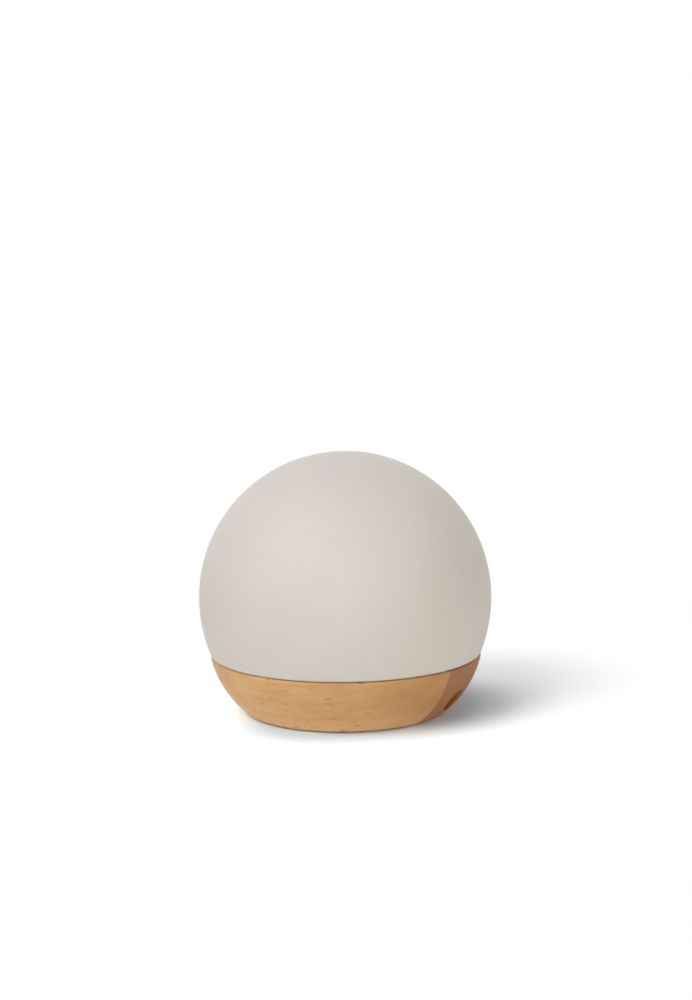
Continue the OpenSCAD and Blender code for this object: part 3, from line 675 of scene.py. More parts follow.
OPAL_GLASS = OpalGlass("opal_glass_satin", "opal_glass")
BEECH_LIGHT = Beech(
    "beech_light_board",
    "beech_light",
    colour="#E0B57C",
    warm="#D3A169",
    fleck="#8A5A32",
    end_grain="#A9733F",
    pale="#F3C993",
    glue_offset=18,
    ring_middle=(46, 30),
)
BEECH_DARK = Beech(
    "beech_red_board",
    "beech_dark",
    colour="#BA8354",
    warm="#B37A4A",
    fleck="#7A4A2A",
    end_grain="#9A6238",
    pale="#CE935D",
    glue_offset=18,
    ring_middle=(-60, 12),
    fleck_share=0.12,
    ring_strength=0.16,
    end_strength=0.4,
)

# Silicone rubber, cast: milky and a little soft to the light
CLEAR_SILICONE = Grained(
    "silicone_seat", "clear_silicone", "#CFCFCB", "#C6C6C2", 0.45, grain=0.6, depth=0.01, subsurface=0.3
)
# ABS, injection moulded in a spark-eroded mould: white, with a fine even grain
WHITE_MOULDING = Grained("abs_white_spark_grain", "white_moulding", "#E4E4E0", "#DFDFDA", 0.55, depth=0.02)
# Steel, cold headed and zinc plated: bluish grey, with the fine lines of the heading
STEEL_SCREW = Grained(
    "steel_zinc_plated", "steel_screw", "#B5B6B8", "#A3A5A9", 0.34, grain=0.12, depth=0.004, metallic=1
)
# Silicone sheet filled with ceramic powder: grey-blue and dead matt
THERMAL_SHEET = Grained("thermal_silicone_sheet", "thermal_silicone", "#7F8C99", "#75818D", 0.85, grain=0.5)
# White solder mask on an aluminium core: smooth, with a slight orange peel
WHITE_MASK = Grained(
    "solder_mask_white", "white_circuit_board", "#E9E9E6", "#E2E2DE", 0.35, grain=1.2, depth=0.006, coat=0.2
)
# Phosphor under clear silicone: egg yellow and smooth
PHOSPHOR = Grained(
    "phosphor_silicone", "light_chip", "#E6CF6E", "#DEC35F", 0.25, grain=0.15, depth=0.004, coat=0.5
)
# Polycarbonate, moulded with a frosted face: milky white
DIFFUSER = Grained(
    "polycarbonate_frosted", "diffuser", "#EBE8DF", "#E5E2D9", 0.5, grain=0.3, depth=0.015, subsurface=0.3
)
# PVC shrink sleeve: blue, glossy, with slow ripples where it drew tight
SHRINK_SLEEVE = Grained(
    "pvc_shrink_sleeve", "battery_sleeve", "#215A99", "#1B4F8A", 0.22,
    grain=3.5, depth=0.05, ior=1.53, coat=0.3,
)
# Nickel plate on steel strip: bright, with faint drawing lines
NICKEL = Grained(
    "nickel_plated_strip", "bare_metal", "#C9C6BE", "#BDBAB2", 0.24, grain=0.15, depth=0.004,
    relief=Relief.BRUSHED, metallic=1,
)
# Polyurethane foam: charcoal, open cells about 0.8 mm across
FOAM = Grained(
    "foam_open_cell", "foam", "#2B2B2D", "#232325", 0.95, grain=0.8, depth=0.25, relief=Relief.CELLS
)
# Nylon, moulded: dark grey satin
DARK_MOULDING = Grained("nylon_dark", "dark_moulding", "#34373A", "#2F3235", 0.5, depth=0.015)
# Glass-cloth board under green solder mask: the cloth's weave shows as a low ripple
GREEN_MASK = Grained(
    "solder_mask_green", "green_circuit_board", "#1C5F38", "#185430", 0.32, grain=0.7, depth=0.012, coat=0.3
)
# Epoxy, transfer moulded: black with a grey bloom
CHIP_EPOXY = Grained("epoxy_chip_package", "chip_package", "#1D1D1F", "#262628", 0.6, grain=0.08, depth=0.004)
# Pressed ferrite powder: dark grey and granular
FERRITE = Grained("ferrite_pressed", "coil_can", "#3A3A3C", "#323234", 0.7, grain=0.2, depth=0.02)
# Nylon without pigment: creamy and slightly waxy
NATURAL_NYLON = Grained(
    "nylon_natural", "connector_nylon", "#E0DACB", "#D8D2C2", 0.42, depth=0.01, subsurface=0.2
)
# Silicone wire sleeves: smooth and soft looking
WIRE_RED = Grained("wire_sleeve_red", "wire_red", "#A3201C", "#951B18", 0.4, grain=0.5)
WIRE_BLACK = Grained("wire_sleeve_black", "wire_black", "#1A1A1B", "#222223", 0.4, grain=0.5)
# Glass-filled polymer: black and fine grained
SOCKET_MOULDING = Grained(
    "polymer_glass_filled_black", "socket_moulding", "#141415", "#1B1B1C", 0.5, grain=0.12
)
# ABS, moulded and coloured to the oiled wood's dark tone
BROWN_MOULDING = Grained("abs_brown_spark_grain", "brown_moulding", "#5A3A22", "#51331E", 0.6, depth=0.02)
# Polycarbonate blend, moulded and softly polished: warm white
BUTTON_MOULDING = Grained(
    "abs_warm_white_satin", "button_moulding", "#E5E2DA", "#DFDCD3", 0.38, grain=0.3, depth=0.006, coat=0.1
)
# ABS, spark grain: warm light grey
COVER_MOULDING = Grained(
    "abs_warm_grey_spark_grain", "cover_moulding", "#D0CBC1", "#C9C4BA", 0.58, depth=0.03
)
# Silicone rubber, moulded: dark, matt, with a soft bloom
FOOT_RUBBER = Grained("silicone_foot_dark", "foot_rubber", "#34312E", "#3B3835", 0.78, grain=0.4, depth=0.015)
# Gold flash on the socket's contacts
GOLD = Grained(
    "gold_flash_contact", "bare_metal", "#E0BC6A", "#D4AE5C", 0.22, grain=0.1, depth=0.002, metallic=1
)


# Sub-assemblies


@dataclass
class Globe:
    """The blown glass: a sphere that turns in at a shoulder to a short collar, with one wall thickness."""

    centre: float = 58.1
    radius: float = 75
    wall: float = 2.2
    shoulder: float = 29.5
    shoulder_ease: float = 2.0
    collar_radius: float = 63.53
    collar_foot: float = 23.7
    collar_eases: tuple[float, float, float, float] = (0.5, 0.8, 0.8, 0.5)
    columns: int = 224
    outer_rows: int = 108
    inner_rows: int = 60
    corner_rows: int = 9

    def skin(self, radius: float, flat: float, ease: float, rows: int) -> np.ndarray:
        """A sphere's outline from its top down to where its rounded corner meets the shoulder's flat.

        Args:
            radius: the sphere's radius.
            flat: the height of the flat.
            ease: the corner's rounding.
            rows: points on the sphere.

        Returns:
            Rows of radius and height, from the top down.
        """
        middle = np.array([0, self.centre])
        turn = corner_centre(middle, radius, ease, flat, 1)
        tangent = bearing(middle, turn)
        sphere = arc(middle, radius, 90, tangent, rows)
        return np.concatenate([sphere, arc(turn, ease, tangent, -90, self.corner_rows)[1:]])

    def build(self) -> None:
        """Joins the outer skin, the collar and the inner skin into one closed wall, and turns it."""
        outer = self.skin(self.radius, self.shoulder, self.shoulder_ease, self.outer_rows)
        inner_flat = self.shoulder + self.wall
        inner_ease = self.shoulder_ease / 2
        inner = self.skin(self.radius - self.wall, inner_flat, inner_ease, self.inner_rows)[::-1]
        collar_inner = self.collar_radius - self.wall
        steps = stepped([self.collar_radius, collar_inner], [self.shoulder, self.collar_foot, inner_flat])
        collar = eased(np.vstack([outer[-1], steps, inner[0]]), self.collar_eases, steps=6)
        profile = np.concatenate([outer, collar, inner])
        profile[[0, -1], 0] = 0
        Surface().spin(profile, self.columns).piece("opal_globe", LAMP, OPAL_GLASS, "glass_globe")


@dataclass
class TurnedBase:
    """The beech base, turned from two edge-glued boards, with the charging recess in the darker one."""

    foot: float = 0.7
    rim: float = 29.3
    rim_radius: float = 69.83
    foot_radius: float = 52.25
    bulge: float = 2.9
    rim_ease: float = 1.1
    foot_ease: float = 1.8
    rebate_radius: float = 63.93
    ledge: float = 22.7
    bore_radius: float = 42.99
    cover_radius: float = 45.49
    cover_top: float = 3.1
    recess_width: float = 13.4
    recess_height: float = 10.4
    recess_middle: float = 10.0
    recess_floor: float = 47.5
    recess_ease: float = 0.45
    patch_angle: float = 9.6
    patch_low: float = 3.2
    patch_high: float = 17.2
    glue_offset: float = 18
    inner_ease: float = 0.25
    rows_below: int = 4
    rows_beside: int = 27
    rows_above: int = 18
    foot_rows: int = 7
    rim_rows: int = 9
    near_columns: int = 6
    patch_columns: int = 25
    board_columns: int = 110
    patch_rings: int = 9
    patch_crowding: float = 0.8
    edge_rings: int = 7
    wall_rings: int = 8

    def side_circle(self) -> tuple[np.ndarray, float]:
        """Centre and radius of the arc through the rim's and the foot's edges that bulges out by the bulge.

        The radius is the chord squared over eight bulges plus half a bulge, and the centre lies on the
        chord's bisector, the radius less the bulge inside it.

        Returns:
            The centre and the radius.
        """
        low, high = np.array([self.foot_radius, self.foot]), np.array([self.rim_radius, self.rim])
        chord = float(np.linalg.norm(high - low))
        radius = chord**2 / (8 * self.bulge) + self.bulge / 2
        inward = np.array([low[1] - high[1], high[0] - low[0]]) / chord
        return (low + high) / 2 + inward * (radius - self.bulge), radius

    def side_radius(self, height: np.ndarray) -> np.ndarray:
        """Radius at a height: the arc's centre plus the root of its radius squared less the rise squared."""
        centre, radius = self.side_circle()
        return centre[0] + np.sqrt(radius**2 - (height - centre[1]) ** 2)

    def profile(self) -> tuple[np.ndarray, int, int]:
        """The section of the wall as a closed loop.

        Returns:
            Rows of radius and height, and the rows between which the recess's patch lies.
        """
        centre, radius = self.side_circle()
        low = corner_centre(centre, radius, self.foot_ease, self.foot, 1)
        high = corner_centre(centre, radius, self.rim_ease, self.rim, -1)
        low_angle, high_angle = bearing(centre, low), bearing(centre, high)
        low_z = centre[1] + radius * math.sin(math.radians(low_angle))
        high_z = centre[1] + radius * math.sin(math.radians(high_angle))
        below = np.linspace(low_z, self.patch_low, self.rows_below)[1:-1]
        beside = np.linspace(self.patch_low, self.patch_high, self.rows_beside)
        above = np.linspace(self.patch_high, high_z, self.rows_above)[1:-1]
        heights = np.concatenate([below, beside, above])
        side = np.column_stack([self.side_radius(heights), heights])
        foot = arc(low, self.foot_ease, -90, low_angle, self.foot_rows)
        rim = arc(high, self.rim_ease, high_angle, 90, self.rim_rows)
        outer = np.concatenate([foot, side, rim])
        steps = stepped(
            [self.rebate_radius, self.bore_radius, self.cover_radius],
            [self.rim, self.ledge, self.cover_top, self.foot],
        )
        inner = eased(np.vstack([outer[-1], steps, outer[0]]), self.inner_ease, steps=3)
        first = len(foot) + len(below)
        return np.concatenate([outer, inner]), first, first + len(beside) - 1

    def on_side(self, angle: np.ndarray, height: np.ndarray) -> np.ndarray:
        """Points of the side at given angles and heights."""
        radius = self.side_radius(height)
        return np.stack([radius * np.cos(angle), radius * np.sin(angle), height], axis=-1)

    def board(
        self, name: str, finish: Beech, node: str, angles: np.ndarray, first: int = 0, last: int = 0
    ) -> None:
        """Makes one board's share of the base.

        Args:
            name: the piece's name.
            finish: its wood.
            node: the CAD node that it replaces.
            angles: for each profile point, the angles of its columns from one glue face to the other.
            first: the profile row where the recess's patch starts.
            last: the profile row where it ends, or nought for a board without the recess.
        """
        loop = self.profile()[0]
        count = angles.shape[1]
        faces = quads(len(loop), count, loop=True)
        surface = Surface()
        if last:
            inside = np.abs(angles[first]) <= math.radians(self.patch_angle) + 1e-9
            row, column = faces[:, 0] // count, faces[:, 0] % count
            beside = np.minimum(column + 1, count - 1)
            opened = (row >= first) & (row < last) & inside[column] & inside[beside]
            faces = faces[~opened]
            self.cut_recess(surface, angles[first][inside], loop[first : last + 1, 1])
        grid = turned(loop, angles)
        surface.add(grid, faces)
        for end in (grid[:, 0], grid[:, -1]):
            surface.add(end, [range(len(loop))])
        surface.piece(name, LAMP, finish, node)

    def cut_recess(self, surface: Surface, columns: np.ndarray, rows: np.ndarray) -> None:
        """Fills the patch round the recess, and makes its eased edge, its wall and its floor.

        The patch's frame is a rectangle of angle and height on the side. Each point of the frame looks
        towards the recess's middle, and the rings step evenly from it to the recess's outline in that
        direction. The edge falls away by a quarter circle, and the wall runs straight in along X.

        Args:
            surface: where the patch goes.
            columns: the frame's angles.
            rows: the frame's heights.
        """
        low = np.column_stack([columns, np.full(len(columns), rows[0])])
        high = np.column_stack([columns, np.full(len(columns), rows[-1])])[::-1]
        right = np.column_stack([np.full(len(rows), columns[-1]), rows])
        left = np.column_stack([np.full(len(rows), columns[0]), rows])[::-1]
        frame = np.concatenate([low[:-1], right[:-1], high[:-1], left[:-1]])
        beside = self.side_radius(frame[:, 1]) * np.sin(frame[:, 0])
        direction = np.arctan2(frame[:, 1] - self.recess_middle, beside)

        def outline(grow: float) -> tuple[np.ndarray, np.ndarray]:
            """Where the recess's outline, grown by an amount, lies in each direction."""
            reach = slot_reach(direction, self.recess_width + 2 * grow, self.recess_height + 2 * grow)
            return reach * np.cos(direction), self.recess_middle + reach * np.sin(direction)

        y, z = outline(self.recess_ease)
        edge = np.column_stack([np.arcsin(y / self.side_radius(z)), z])
        share = np.linspace(0, 1, self.patch_rings)[:, None, None] ** self.patch_crowding
        blend = frame + (edge - frame) * share
        skin = self.on_side(blend[..., 0], blend[..., 1])

        rings = []
        for fall in np.radians(np.linspace(0, 90, self.edge_rings)[1:]):
            y, z = outline(self.recess_ease * (1 - math.sin(fall)))
            x = np.sqrt(self.side_radius(z) ** 2 - y**2) - self.recess_ease * (1 - math.cos(fall))
            rings.append(np.stack([x, y, z], axis=-1))
        mouth = rings[-1]
        floor = mouth * [0, 1, 1] + [self.recess_floor, 0, 0]
        wall = [mouth + (floor - mouth) * step for step in np.linspace(0, 1, self.wall_rings)[1:]]
        grid = np.concatenate([skin, np.stack(rings + wall)])
        count = len(frame)
        surface.add(grid, quads(len(grid), count, ring=True))
        surface.add(floor, [range(count)])

    def build(self) -> None:
        """Makes the two boards, which meet in the upright plane of the glue line.

        The plane runs along X, off the middle by the glue line's offset. A circle of a profile point's radius
        crosses it at minus the arcsine of the offset over the radius, and again at half a turn plus that
        arcsine.
        """
        loop, first, last = self.profile()
        start = -np.arcsin(self.glue_offset / loop[:, :1])
        end = math.pi - start
        limit = math.radians(self.patch_angle)
        patch = np.linspace(-limit, limit, self.patch_columns)
        near = np.linspace(0, 1, self.near_columns)[:-1]
        whole = np.linspace(0, 1, self.board_columns)
        dark = np.hstack(
            [
                start + (-limit - start) * near,
                np.broadcast_to(patch, (len(loop), len(patch))),
                limit + (end - limit) * whole[1:],
            ]
        )
        self.board("base_board_red", BEECH_DARK, "beech_board_side", dark, first, last)
        light = end + (start + 2 * math.pi - end) * whole
        self.board("base_board_light", BEECH_LIGHT, "beech_board_main", light)


@dataclass
class ChargingSocket:
    """What is at the recess's bottom: the moulded insert, the steel shell, the tongue and its contacts."""

    face: float = 53.5
    middle: float = 10.0
    insert_back: float = 47.5
    insert_width: float = 13.0
    insert_height: float = 10.0
    insert_wall: float = 1.2
    pocket_width: float = 11.8
    pocket_height: float = 5.6
    pocket_middle: float = 9.5
    mouth_gap: float = 0.4
    shell_width: float = 8.94
    shell_height: float = 3.26
    shell_wall: float = 0.3
    shell_back: float = 46.0
    shell_front: float = 53.3
    tongue_width: float = 6.7
    tongue_height: float = 0.7
    tongue_front: float = 52.5
    block_front: float = 46.9
    contact_rows: int = 12
    contact_pitch: float = 0.5
    contact_size: tuple[float, float, float] = (4.4, 0.27, 0.05)
    contact_setback: float = 0.5
    insert_ease: float = 0.35
    insert_rings: int = 5
    tongue_ease: float = 0.12
    block_gap: float = 0.05
    lip_slope: float = 0.3
    points: int = 72

    def closed_tube(
        self, name: str, finish: Finish, rings: list[tuple[float, float, float, float]], node: str
    ) -> None:
        """Makes a tube whose section is a loop of slot outlines, the last joined to the first."""
        faces = quads(len(rings), self.points, ring=True, loop=True)
        Surface().add(facing_x(rings, self.points), faces).piece(name, LAMP, finish, node)

    def build(self) -> None:
        """Makes the socket's pieces from the outside in."""
        z = self.middle
        width, height = self.insert_width, self.insert_height
        mouth_w, mouth_h = self.shell_width + self.mouth_gap, self.shell_height + self.mouth_gap
        ease = self.insert_ease
        quarter = np.radians(np.linspace(0, 90, self.insert_rings))
        falls = [(1 - math.cos(angle), 1 - math.sin(angle)) for angle in quarter]
        rings = [(self.insert_back, width, height, z)]
        rings += [
            (self.face - ease + ease * (1 - back), width - 2 * ease * turn, height - 2 * ease * turn, z)
            for turn, back in falls
        ]
        rings += [
            (self.face - ease * turn, mouth_w + 2 * ease * back, mouth_h + 2 * ease * back, z)
            for turn, back in falls
        ]
        rings += [
            (self.face - self.insert_wall, mouth_w, mouth_h, z),
            (self.face - self.insert_wall, self.pocket_width, self.pocket_height, self.pocket_middle),
            (self.insert_back, self.pocket_width, self.pocket_height, self.pocket_middle),
        ]
        self.closed_tube("recess_insert", BROWN_MOULDING, rings, "charging_insert")

        lip = self.shell_wall / 2
        slope = self.lip_slope * lip
        outer_w, outer_h = self.shell_width, self.shell_height
        inner_w, inner_h = outer_w - 2 * self.shell_wall, outer_h - 2 * self.shell_wall
        rings = [
            (self.shell_back, outer_w, outer_h, z),
            (self.shell_front - lip, outer_w, outer_h, z),
            (self.shell_front - slope, outer_w - 2 * slope, outer_h - 2 * slope, z),
            (self.shell_front, outer_w - 2 * lip, outer_h - 2 * lip, z),
            (self.shell_front - slope, inner_w + 2 * slope, inner_h + 2 * slope, z),
            (self.shell_front - lip, inner_w, inner_h, z),
            (self.shell_back, inner_w, inner_h, z),
        ]
        self.closed_tube("socket_shell", NICKEL, rings, "charging_shell")
        self.build_tongue(inner_w - 2 * self.block_gap, inner_h - 2 * self.block_gap)
        self.build_contacts()

    def build_tongue(self, block_width: float, block_height: float) -> None:
        """Makes the block that closes the shell's back and the thin tongue that stands out from it.

        Args:
            block_width: the block's width.
            block_height: the block's height.
        """
        z, ease = self.middle, self.tongue_ease
        rings = [
            (self.shell_back, block_width, block_height, z),
            (self.block_front, block_width, block_height, z),
            (self.block_front, self.tongue_width, self.tongue_height, z),
            (self.tongue_front - ease, self.tongue_width, self.tongue_height, z),
            (self.tongue_front, self.tongue_width - 2 * ease, self.tongue_height - 2 * ease, z),
        ]
        grid = facing_x(rings, self.points)
        surface = Surface().add(grid, quads(len(rings), self.points, ring=True))
        surface.add(grid[0], [range(self.points)]).add(grid[-1], [range(self.points)])
        surface.piece("socket_tongue", LAMP, SOCKET_MOULDING, "charging_tongue")

    def build_contacts(self) -> None:
        """Makes the contacts above and below the tongue: one box, copied to each place by adding it."""
        size = np.array(self.contact_size)
        corner = np.array([[x, y, z] for x in (0, 1) for y in (0, 1) for z in (0, 1)]) - [1, 0.5, 0.5]
        box = corner * size
        faces = np.array([[0, 1, 3, 2], [4, 6, 7, 5], [0, 4, 5, 1], [2, 3, 7, 6], [0, 2, 6, 4], [1, 5, 7, 3]])
        across = (np.arange(self.contact_rows) - (self.contact_rows - 1) / 2) * self.contact_pitch
        side = np.array([-1.0, 1.0]) * (self.tongue_height + size[2]) / 2
        y, z = (grid.ravel() for grid in np.meshgrid(across, self.middle + side))
        place = np.column_stack([np.full(len(y), self.tongue_front - self.contact_setback), y, z])
        starts = np.arange(len(place))[:, None, None] * len(box)
        surface = Surface().add(place[:, None, :] + box, (starts + faces).reshape(-1, 4))
        surface.piece("socket_contacts", LAMP, GOLD)


@dataclass
class Underside:
    """The foot ring, with ribs that grip the table, and the push button with its dished face."""

    ring_outer: float = 43.99
    ring_inner: float = 39.19
    ring_top: float = 1.5
    ring_ease: float = 0.3
    rib_depth: float = 0.25
    rib_ease: float = 0.06
    ribs: int = 4
    groove_mouth: float = 0.3
    groove_floor: float = 0.15
    button_x: float = 17.5
    button_radius: float = 6.0
    button_face: float = 1.2
    button_dish: float = 0.35
    dish_margin: float = 0.9
    dish_rings: int = 14
    button_eases: tuple[float, ...] = (0.5, 0.1, 0.15, 0.15, 0.2, 0.15)
    flange_foot: float = 3.1
    flange_top: float = 4.1
    flange_radius: float = 7.3
    post_radius: float = 2.25
    post_top: float = 4.6
    ring_columns: int = 180
    button_columns: int = 96

    def build(self) -> None:
        """Makes the ring and the button."""
        self.build_ring()
        self.build_button()

    def build_ring(self) -> None:
        """Turns the ring's section: its table face is ribbed, with a flat rib between two narrow grooves."""
        pitch = (self.ring_outer - self.ring_inner) / self.ribs
        starts = self.ring_inner + pitch * np.arange(1, self.ribs)
        mouth, floor = self.groove_mouth, self.groove_floor
        groove = np.array([[-mouth, 0], [-floor, self.rib_depth], [floor, self.rib_depth], [mouth, 0]])
        table_face = (np.array([[1.0, 0.0]]) * starts[:, None, None] + groove).reshape(-1, 2)
        corners = np.concatenate(
            [
                [[self.ring_inner, self.ring_top], [self.ring_inner, 0]],
                table_face,
                [[self.ring_outer, 0], [self.ring_outer, self.ring_top]],
            ]
        )
        path = np.concatenate([corners[-1:], corners, corners[:1]])
        radii = np.full(len(corners), self.rib_ease)
        radii[[1, -2]] = self.ring_ease
        surface = Surface().spin(eased(path, radii, steps=3), self.ring_columns, loop=True)
        surface.piece("foot_ring_ribbed", LAMP, FOOT_RUBBER, "foot_ring")

    def build_button(self) -> None:
        """Turns the button: its face is a shallow dish, whose depth falls off as the square of the radius."""
        reach = np.linspace(0, self.button_radius - self.dish_margin, self.dish_rings)
        dish = self.button_face + self.button_dish * (1 - (reach / reach[-1]) ** 2)
        steps = stepped(
            [self.button_radius, self.flange_radius, self.post_radius],
            [self.button_face, self.flange_foot, self.flange_top, self.post_top],
        )
        corners = np.vstack([[reach[-1], self.button_face], steps, [0, self.post_top]])
        edges = eased(corners, self.button_eases, steps=5)
        profile = np.concatenate([np.column_stack([reach, dish]), edges, corners[-1:]])
        surface = Surface().spin(profile, self.button_columns, (self.button_x, 0))
        surface.piece("button_cap", BUTTON, BUTTON_MOULDING, "power_button")


@dataclass
class InnerParts:
    """The nodes that keep their own mesh, with the finish of each."""

    finishes: tuple[tuple[Finish, str], ...] = (
        (CLEAR_SILICONE, "globe_seat_ring"),
        (WHITE_MOULDING, "light_tray reflector_ring"),
        (STEEL_SCREW, "tray_screws light_board_screws diffuser_screws battery_strap_screws"),
        (STEEL_SCREW, "main_board_screws charging_board_screws cover_screws"),
        (THERMAL_SHEET, "thermal_pad"),
        (WHITE_MASK, "light_board"),
        (PHOSPHOR, "light_chips"),
        (DIFFUSER, "diffuser_dome"),
        (SHRINK_SLEEVE, "battery_cell"),
        (NICKEL, "battery_terminals"),
        (FOAM, "battery_foam"),
        (DARK_MOULDING, "battery_strap"),
        (GREEN_MASK, "main_board charging_board"),
        (CHIP_EPOXY, "main_board_chips"),
        (FERRITE, "main_board_coil"),
        (NATURAL_NYLON, "battery_socket battery_plug light_socket light_plug switch_plunger"),
        (WIRE_RED, "battery_lead_red light_lead_red charging_lead_red"),
        (WIRE_BLACK, "battery_lead_black light_lead_black charging_lead_black"),
        (SOCKET_MOULDING, "switch_housing"),
        (COVER_MOULDING, "bottom_cover"),
    )

    def build(self, nodes: dict[str, bpy.types.Object]) -> None:
        """Gives each node its finish.

        Args:
            nodes: the frame's nodes by name.
        """
        for finish, names in self.finishes:
            for name in names.split():
                for slot in nodes[name].material_slots:
                    slot.material = finish.material()
                LOG.info("%s: %s", name, finish.name)


@dataclass(frozen=True)
class Softbox:
    """A broad soft light: its place round the object and above it, how wide it looks, and its strength."""

    azimuth: float
    elevation: float
    spread: float
    strength: float


@dataclass
class Studio:
    """A white floor and surroundings, four soft lights and the photograph's camera.

    The key light stands to the left of the camera and casts the shadow, the front light stands to the
    camera's right, the top light hangs over the object's left and the rear light is wide and low behind it.
    To the eye the floor has a painted cool tint that gives back less of the wood's orange in a circle round
    one middle, and a painted shadow that darkens it in an oval round another, where the lamp stands on it.
    Those two, the fade to white and the clip are in metres.
    """

    frame_width: int = 692
    frame_height: int = 1000
    globe_centre: tuple[float, float, float] = (0, 0, 58.1)
    distance: float = 900
    azimuth: float = 28
    elevation: float = 10.85
    roll: float = 0.8
    lens: float = 62.84
    sensor: float = 36
    clip: tuple[float, float] = (0.01, 50)
    globe_pixel: tuple[float, float] = (345.2, 596.6)
    key: Softbox = Softbox(-25, 42, 38, 1.25)
    front: Softbox = Softbox(49, 4, 62, 1.75)
    top: Softbox = Softbox(-60, 72, 30, 0.46)
    rear: Softbox = Softbox(208, 12, 90, 0.76)
    fill: float = 0.2
    fill_below: float = 0.8
    floor_opening: float = 44
    floor_reach: float = 4000
    floor_columns: int = 128
    floor_colour: str = "#FAFAFA"
    floor_lift: float = 1.49
    bounce_middle: tuple[float, float, float] = (-0.0033, -0.0162, 0.0)
    bounce_reach: tuple[float, float] = (0.02, 0.151)
    bounce_balance: tuple[float, float, float] = (1.1, 1.277, 1.42)
    # The contact settings shape the painted contact shadow on the floor
    contact_middle: tuple[float, float, float] = (0.0172, -0.0058, 0.0)
    contact_turn: float = 62
    contact_stretch: float = 1.76
    contact_reach: tuple[float, float] = (0.0337, 0.0718)
    contact_fall: float = 2.2
    painted_contact_shadow_tone: tuple[float, float, float] = (0.54, 0.585, 0.615)
    floor_fade: tuple[float, float] = (0.2, 0.32)

    def build(self) -> None:
        """Makes the surroundings, the floor, the light and the camera."""
        scene = bpy.context.scene
        scene.view_settings.view_transform = "Standard"
        self.build_world(scene)
        self.build_floor()
        for name in ("key", "front", "top", "rear"):
            self.build_light(f"{name}_light", getattr(self, name))
        self.build_camera(scene)

    def seen(self, tree: Tree) -> Socket:
        """One for rays that show the background to the camera, straight or by gloss or glass, else nought.

        Args:
            tree: the node tree that asks.

        Returns:
            The one or nought.
        """
        path = add_node(tree, "LightPath")
        straight, glossy, through = (path[f"Is {kind} Ray"] for kind in ("Camera", "Glossy", "Transmission"))
        mirrored = add_node(tree, "Math", straight, glossy, operation="MAXIMUM")[0]
        return add_node(tree, "Math", mirrored, through, operation="MAXIMUM")[0]

    def towards(self, azimuth: float, elevation: float) -> Vector:
        """Unit vector from the object towards a place given in degrees round it and above it."""
        turn, rise = math.radians(azimuth), math.radians(elevation)
        return Vector((math.sin(turn) * math.cos(rise), -math.cos(turn) * math.cos(rise), math.sin(rise)))

    def build_world(self, scene: bpy.types.Scene) -> None:
        """White to the eye, and to the object an even fill, weak from above and full from under the floor.

        Args:
            scene: the scene that it surrounds.
        """
        world = bpy.data.worlds.new("white_surroundings")
        tree = cleared(world)
        direction = add_node(tree, "TexCoord")["Generated"]
        upward = add_node(tree, "SeparateXYZ", direction)[2]
        below = add_node(tree, "Math", upward, 0, operation="LESS_THAN")[0]
        fill = add_node(tree, "Mix", below, inputs={2: self.fill, 3: self.fill_below})[0]
        strength = add_node(tree, "Mix", self.seen(tree), inputs={2: fill, 3: 1})[0]
        light = add_node(tree, "Background", WHITE, strength)[0]
        add_node(tree, "OutputWorld", light)
        scene.world = world

    def build_floor(self) -> None:
        """A pale matt floor that takes the shadow and a painted shadow near the object, and fades to the
        white beyond it.

        Its back is clear, and it has a round opening that the foot ring covers. So from above it is an
        unbroken floor, and from below the lamp's underside is seen and lit through it.
        """
        angles = np.linspace(0, 2 * math.pi, self.floor_columns, endpoint=False)
        rings = turned(np.array([[self.floor_reach, 0.0], [self.floor_opening, 0.0]]), angles) * MM
        mesh = bpy.data.meshes.new("floor")
        mesh.from_pydata(rings.reshape(-1, 3).tolist(), [], quads(2, len(angles), ring=True).tolist())
        floor = placed("floor", mesh)
        material = bpy.data.materials.new("floor_white_paper")
        tree = cleared(material)
        place = add_node(tree, "TexCoord")["Object"]
        matt = add_node(tree, "BsdfDiffuse", self.tinted(tree, place))[0]
        white = add_node(tree, "Emission", WHITE)[0]
        reach = add_node(tree, "VectorMath", place, operation="DISTANCE")["Value"]
        far = add_node(tree, "MapRange", reach, *self.floor_fade, **GENTLY)[0]
        shown = add_node(tree, "Math", far, self.seen(tree), operation="MULTIPLY")[0]
        surface = add_node(tree, "MixShader", shown, matt, white)[0]
        back = add_node(tree, "NewGeometry")["Backfacing"]
        clear = add_node(tree, "BsdfTransparent")[0]
        sided = add_node(tree, "MixShader", back, surface, clear)[0]
        add_node(tree, "OutputMaterial", sided)
        mesh.materials.append(material)

    def tinted(self, tree: Tree, place: Socket) -> Socket:
        """Colour of the floor: plain white to the light, and to the eye brighter, with a painted cool tint
        and a painted shadow round the lamp.

        Args:
            tree: the floor's node tree.
            place: the place on the floor.

        Returns:
            The colour.
        """
        seen = self.seen(tree)
        tone = linear(self.floor_colour)[0]
        brightness = add_node(tree, "MapRange", seen, 0, 1, tone, tone * self.floor_lift)[0]
        # Painted cool tint in a circle round bounce_middle, taking back the wood's orange bounce
        off_bounce = add_node(tree, "VectorMath", place, self.bounce_middle, operation="DISTANCE")["Value"]
        beside = add_node(tree, "MapRange", off_bounce, *self.bounce_reach[::-1], **GENTLY)[0]
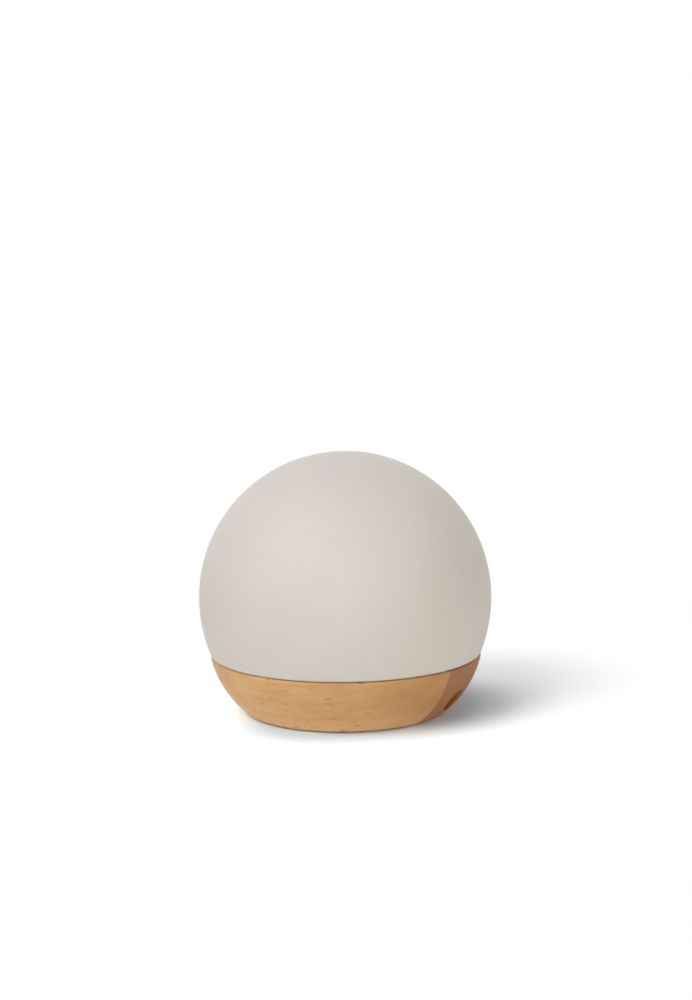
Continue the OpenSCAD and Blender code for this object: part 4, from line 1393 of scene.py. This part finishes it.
        # Painted contact shadow: an oval round contact_middle, at full tone within the inner reach
        stretched = {
            "Location": self.contact_middle,
            "Rotation": (0, 0, math.radians(self.contact_turn)),
            "Scale": (self.contact_stretch, 1, 1),
        }
        oval = add_node(tree, "Mapping", place, inputs=stretched, vector_type="TEXTURE")[0]
        off_contact = add_node(tree, "VectorMath", oval, operation="DISTANCE")["Value"]
        near = add_node(tree, "MapRange", off_contact, *self.contact_reach[::-1])[0]
        close = add_node(tree, "Math", near, self.contact_fall, operation="POWER")[0]
        bounced = {6: WHITE, 7: (*self.bounce_balance, 1)}
        balance = add_node(tree, "Mix", beside, inputs=bounced, **IN_COLOUR)[2]
        touched = {6: balance, 7: (*self.painted_contact_shadow_tone, 1)}
        painted_contact_shadow = add_node(tree, "Mix", close, inputs=touched, blend_type="MULTIPLY", **IN_COLOUR)[2]
        tint = add_node(tree, "Mix", seen, inputs={6: WHITE, 7: painted_contact_shadow}, **IN_COLOUR)[2]
        return add_node(tree, "VectorMath", tint, inputs={3: brightness}, operation="SCALE")[0]

    def build_light(self, name: str, box: Softbox) -> None:
        """Makes a light that comes evenly from a wide disc of the surroundings.

        Args:
            name: its name.
            box: its place, width and strength.
        """
        lamp = bpy.data.lights.new(name, "SUN")
        lamp.energy = box.strength
        lamp.angle = math.radians(box.spread)
        light = placed(name, lamp)
        light.rotation_mode = "QUATERNION"
        light.rotation_quaternion = self.towards(box.azimuth, box.elevation).to_track_quat("Z", "Y")

    def build_camera(self, scene: bpy.types.Scene) -> None:
        """Stands where the photograph was taken, and points so that the globe's middle falls on its pixel.

        The eye's three axes for a view straight at the globe are turned by the roll. The frame's middle is
        then a direction off the globe's, by its distance in pixels over the focal length in pixels.

        Args:
            scene: the scene that it shows.
        """
        centre = Vector(self.globe_centre) * MM
        azimuth = math.radians(self.azimuth)
        back = self.towards(self.azimuth, self.elevation)
        right = Vector((math.cos(azimuth), math.sin(azimuth), 0))
        up = back.cross(right)
        roll = math.radians(self.roll)
        right, up = right * math.cos(roll) - up * math.sin(roll), up * math.cos(roll) + right * math.sin(roll)
        focal = self.lens / self.sensor * max(self.frame_width, self.frame_height)
        off_right = (self.frame_width / 2 - self.globe_pixel[0]) / focal
        off_up = (self.globe_pixel[1] - self.frame_height / 2) / focal
        ahead = (-back + right * off_right + up * off_up).normalized()
        right = ahead.cross(up).normalized()
        up = right.cross(ahead)
        data = bpy.data.cameras.new("photograph_view")
        data.lens = self.lens
        data.sensor_width = self.sensor
        data.clip_start, data.clip_end = self.clip
        camera = placed("photograph_view", data)
        axes = Matrix((right, up, -ahead)).transposed().to_4x4()
        camera.matrix_world = Matrix.Translation(centre + back * self.distance * MM) @ axes
        scene.camera = camera


def main() -> None:
    """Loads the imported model, dresses it and sets up the studio."""
    logging.basicConfig(level=logging.INFO, format="%(name)s: %(message)s")
    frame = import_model()
    Globe().build()
    TurnedBase().build()
    ChargingSocket().build()
    Underside().build()
    InnerParts().build(frame["nodes"])
    Studio().build()


if __name__ == "__main__":
    main()
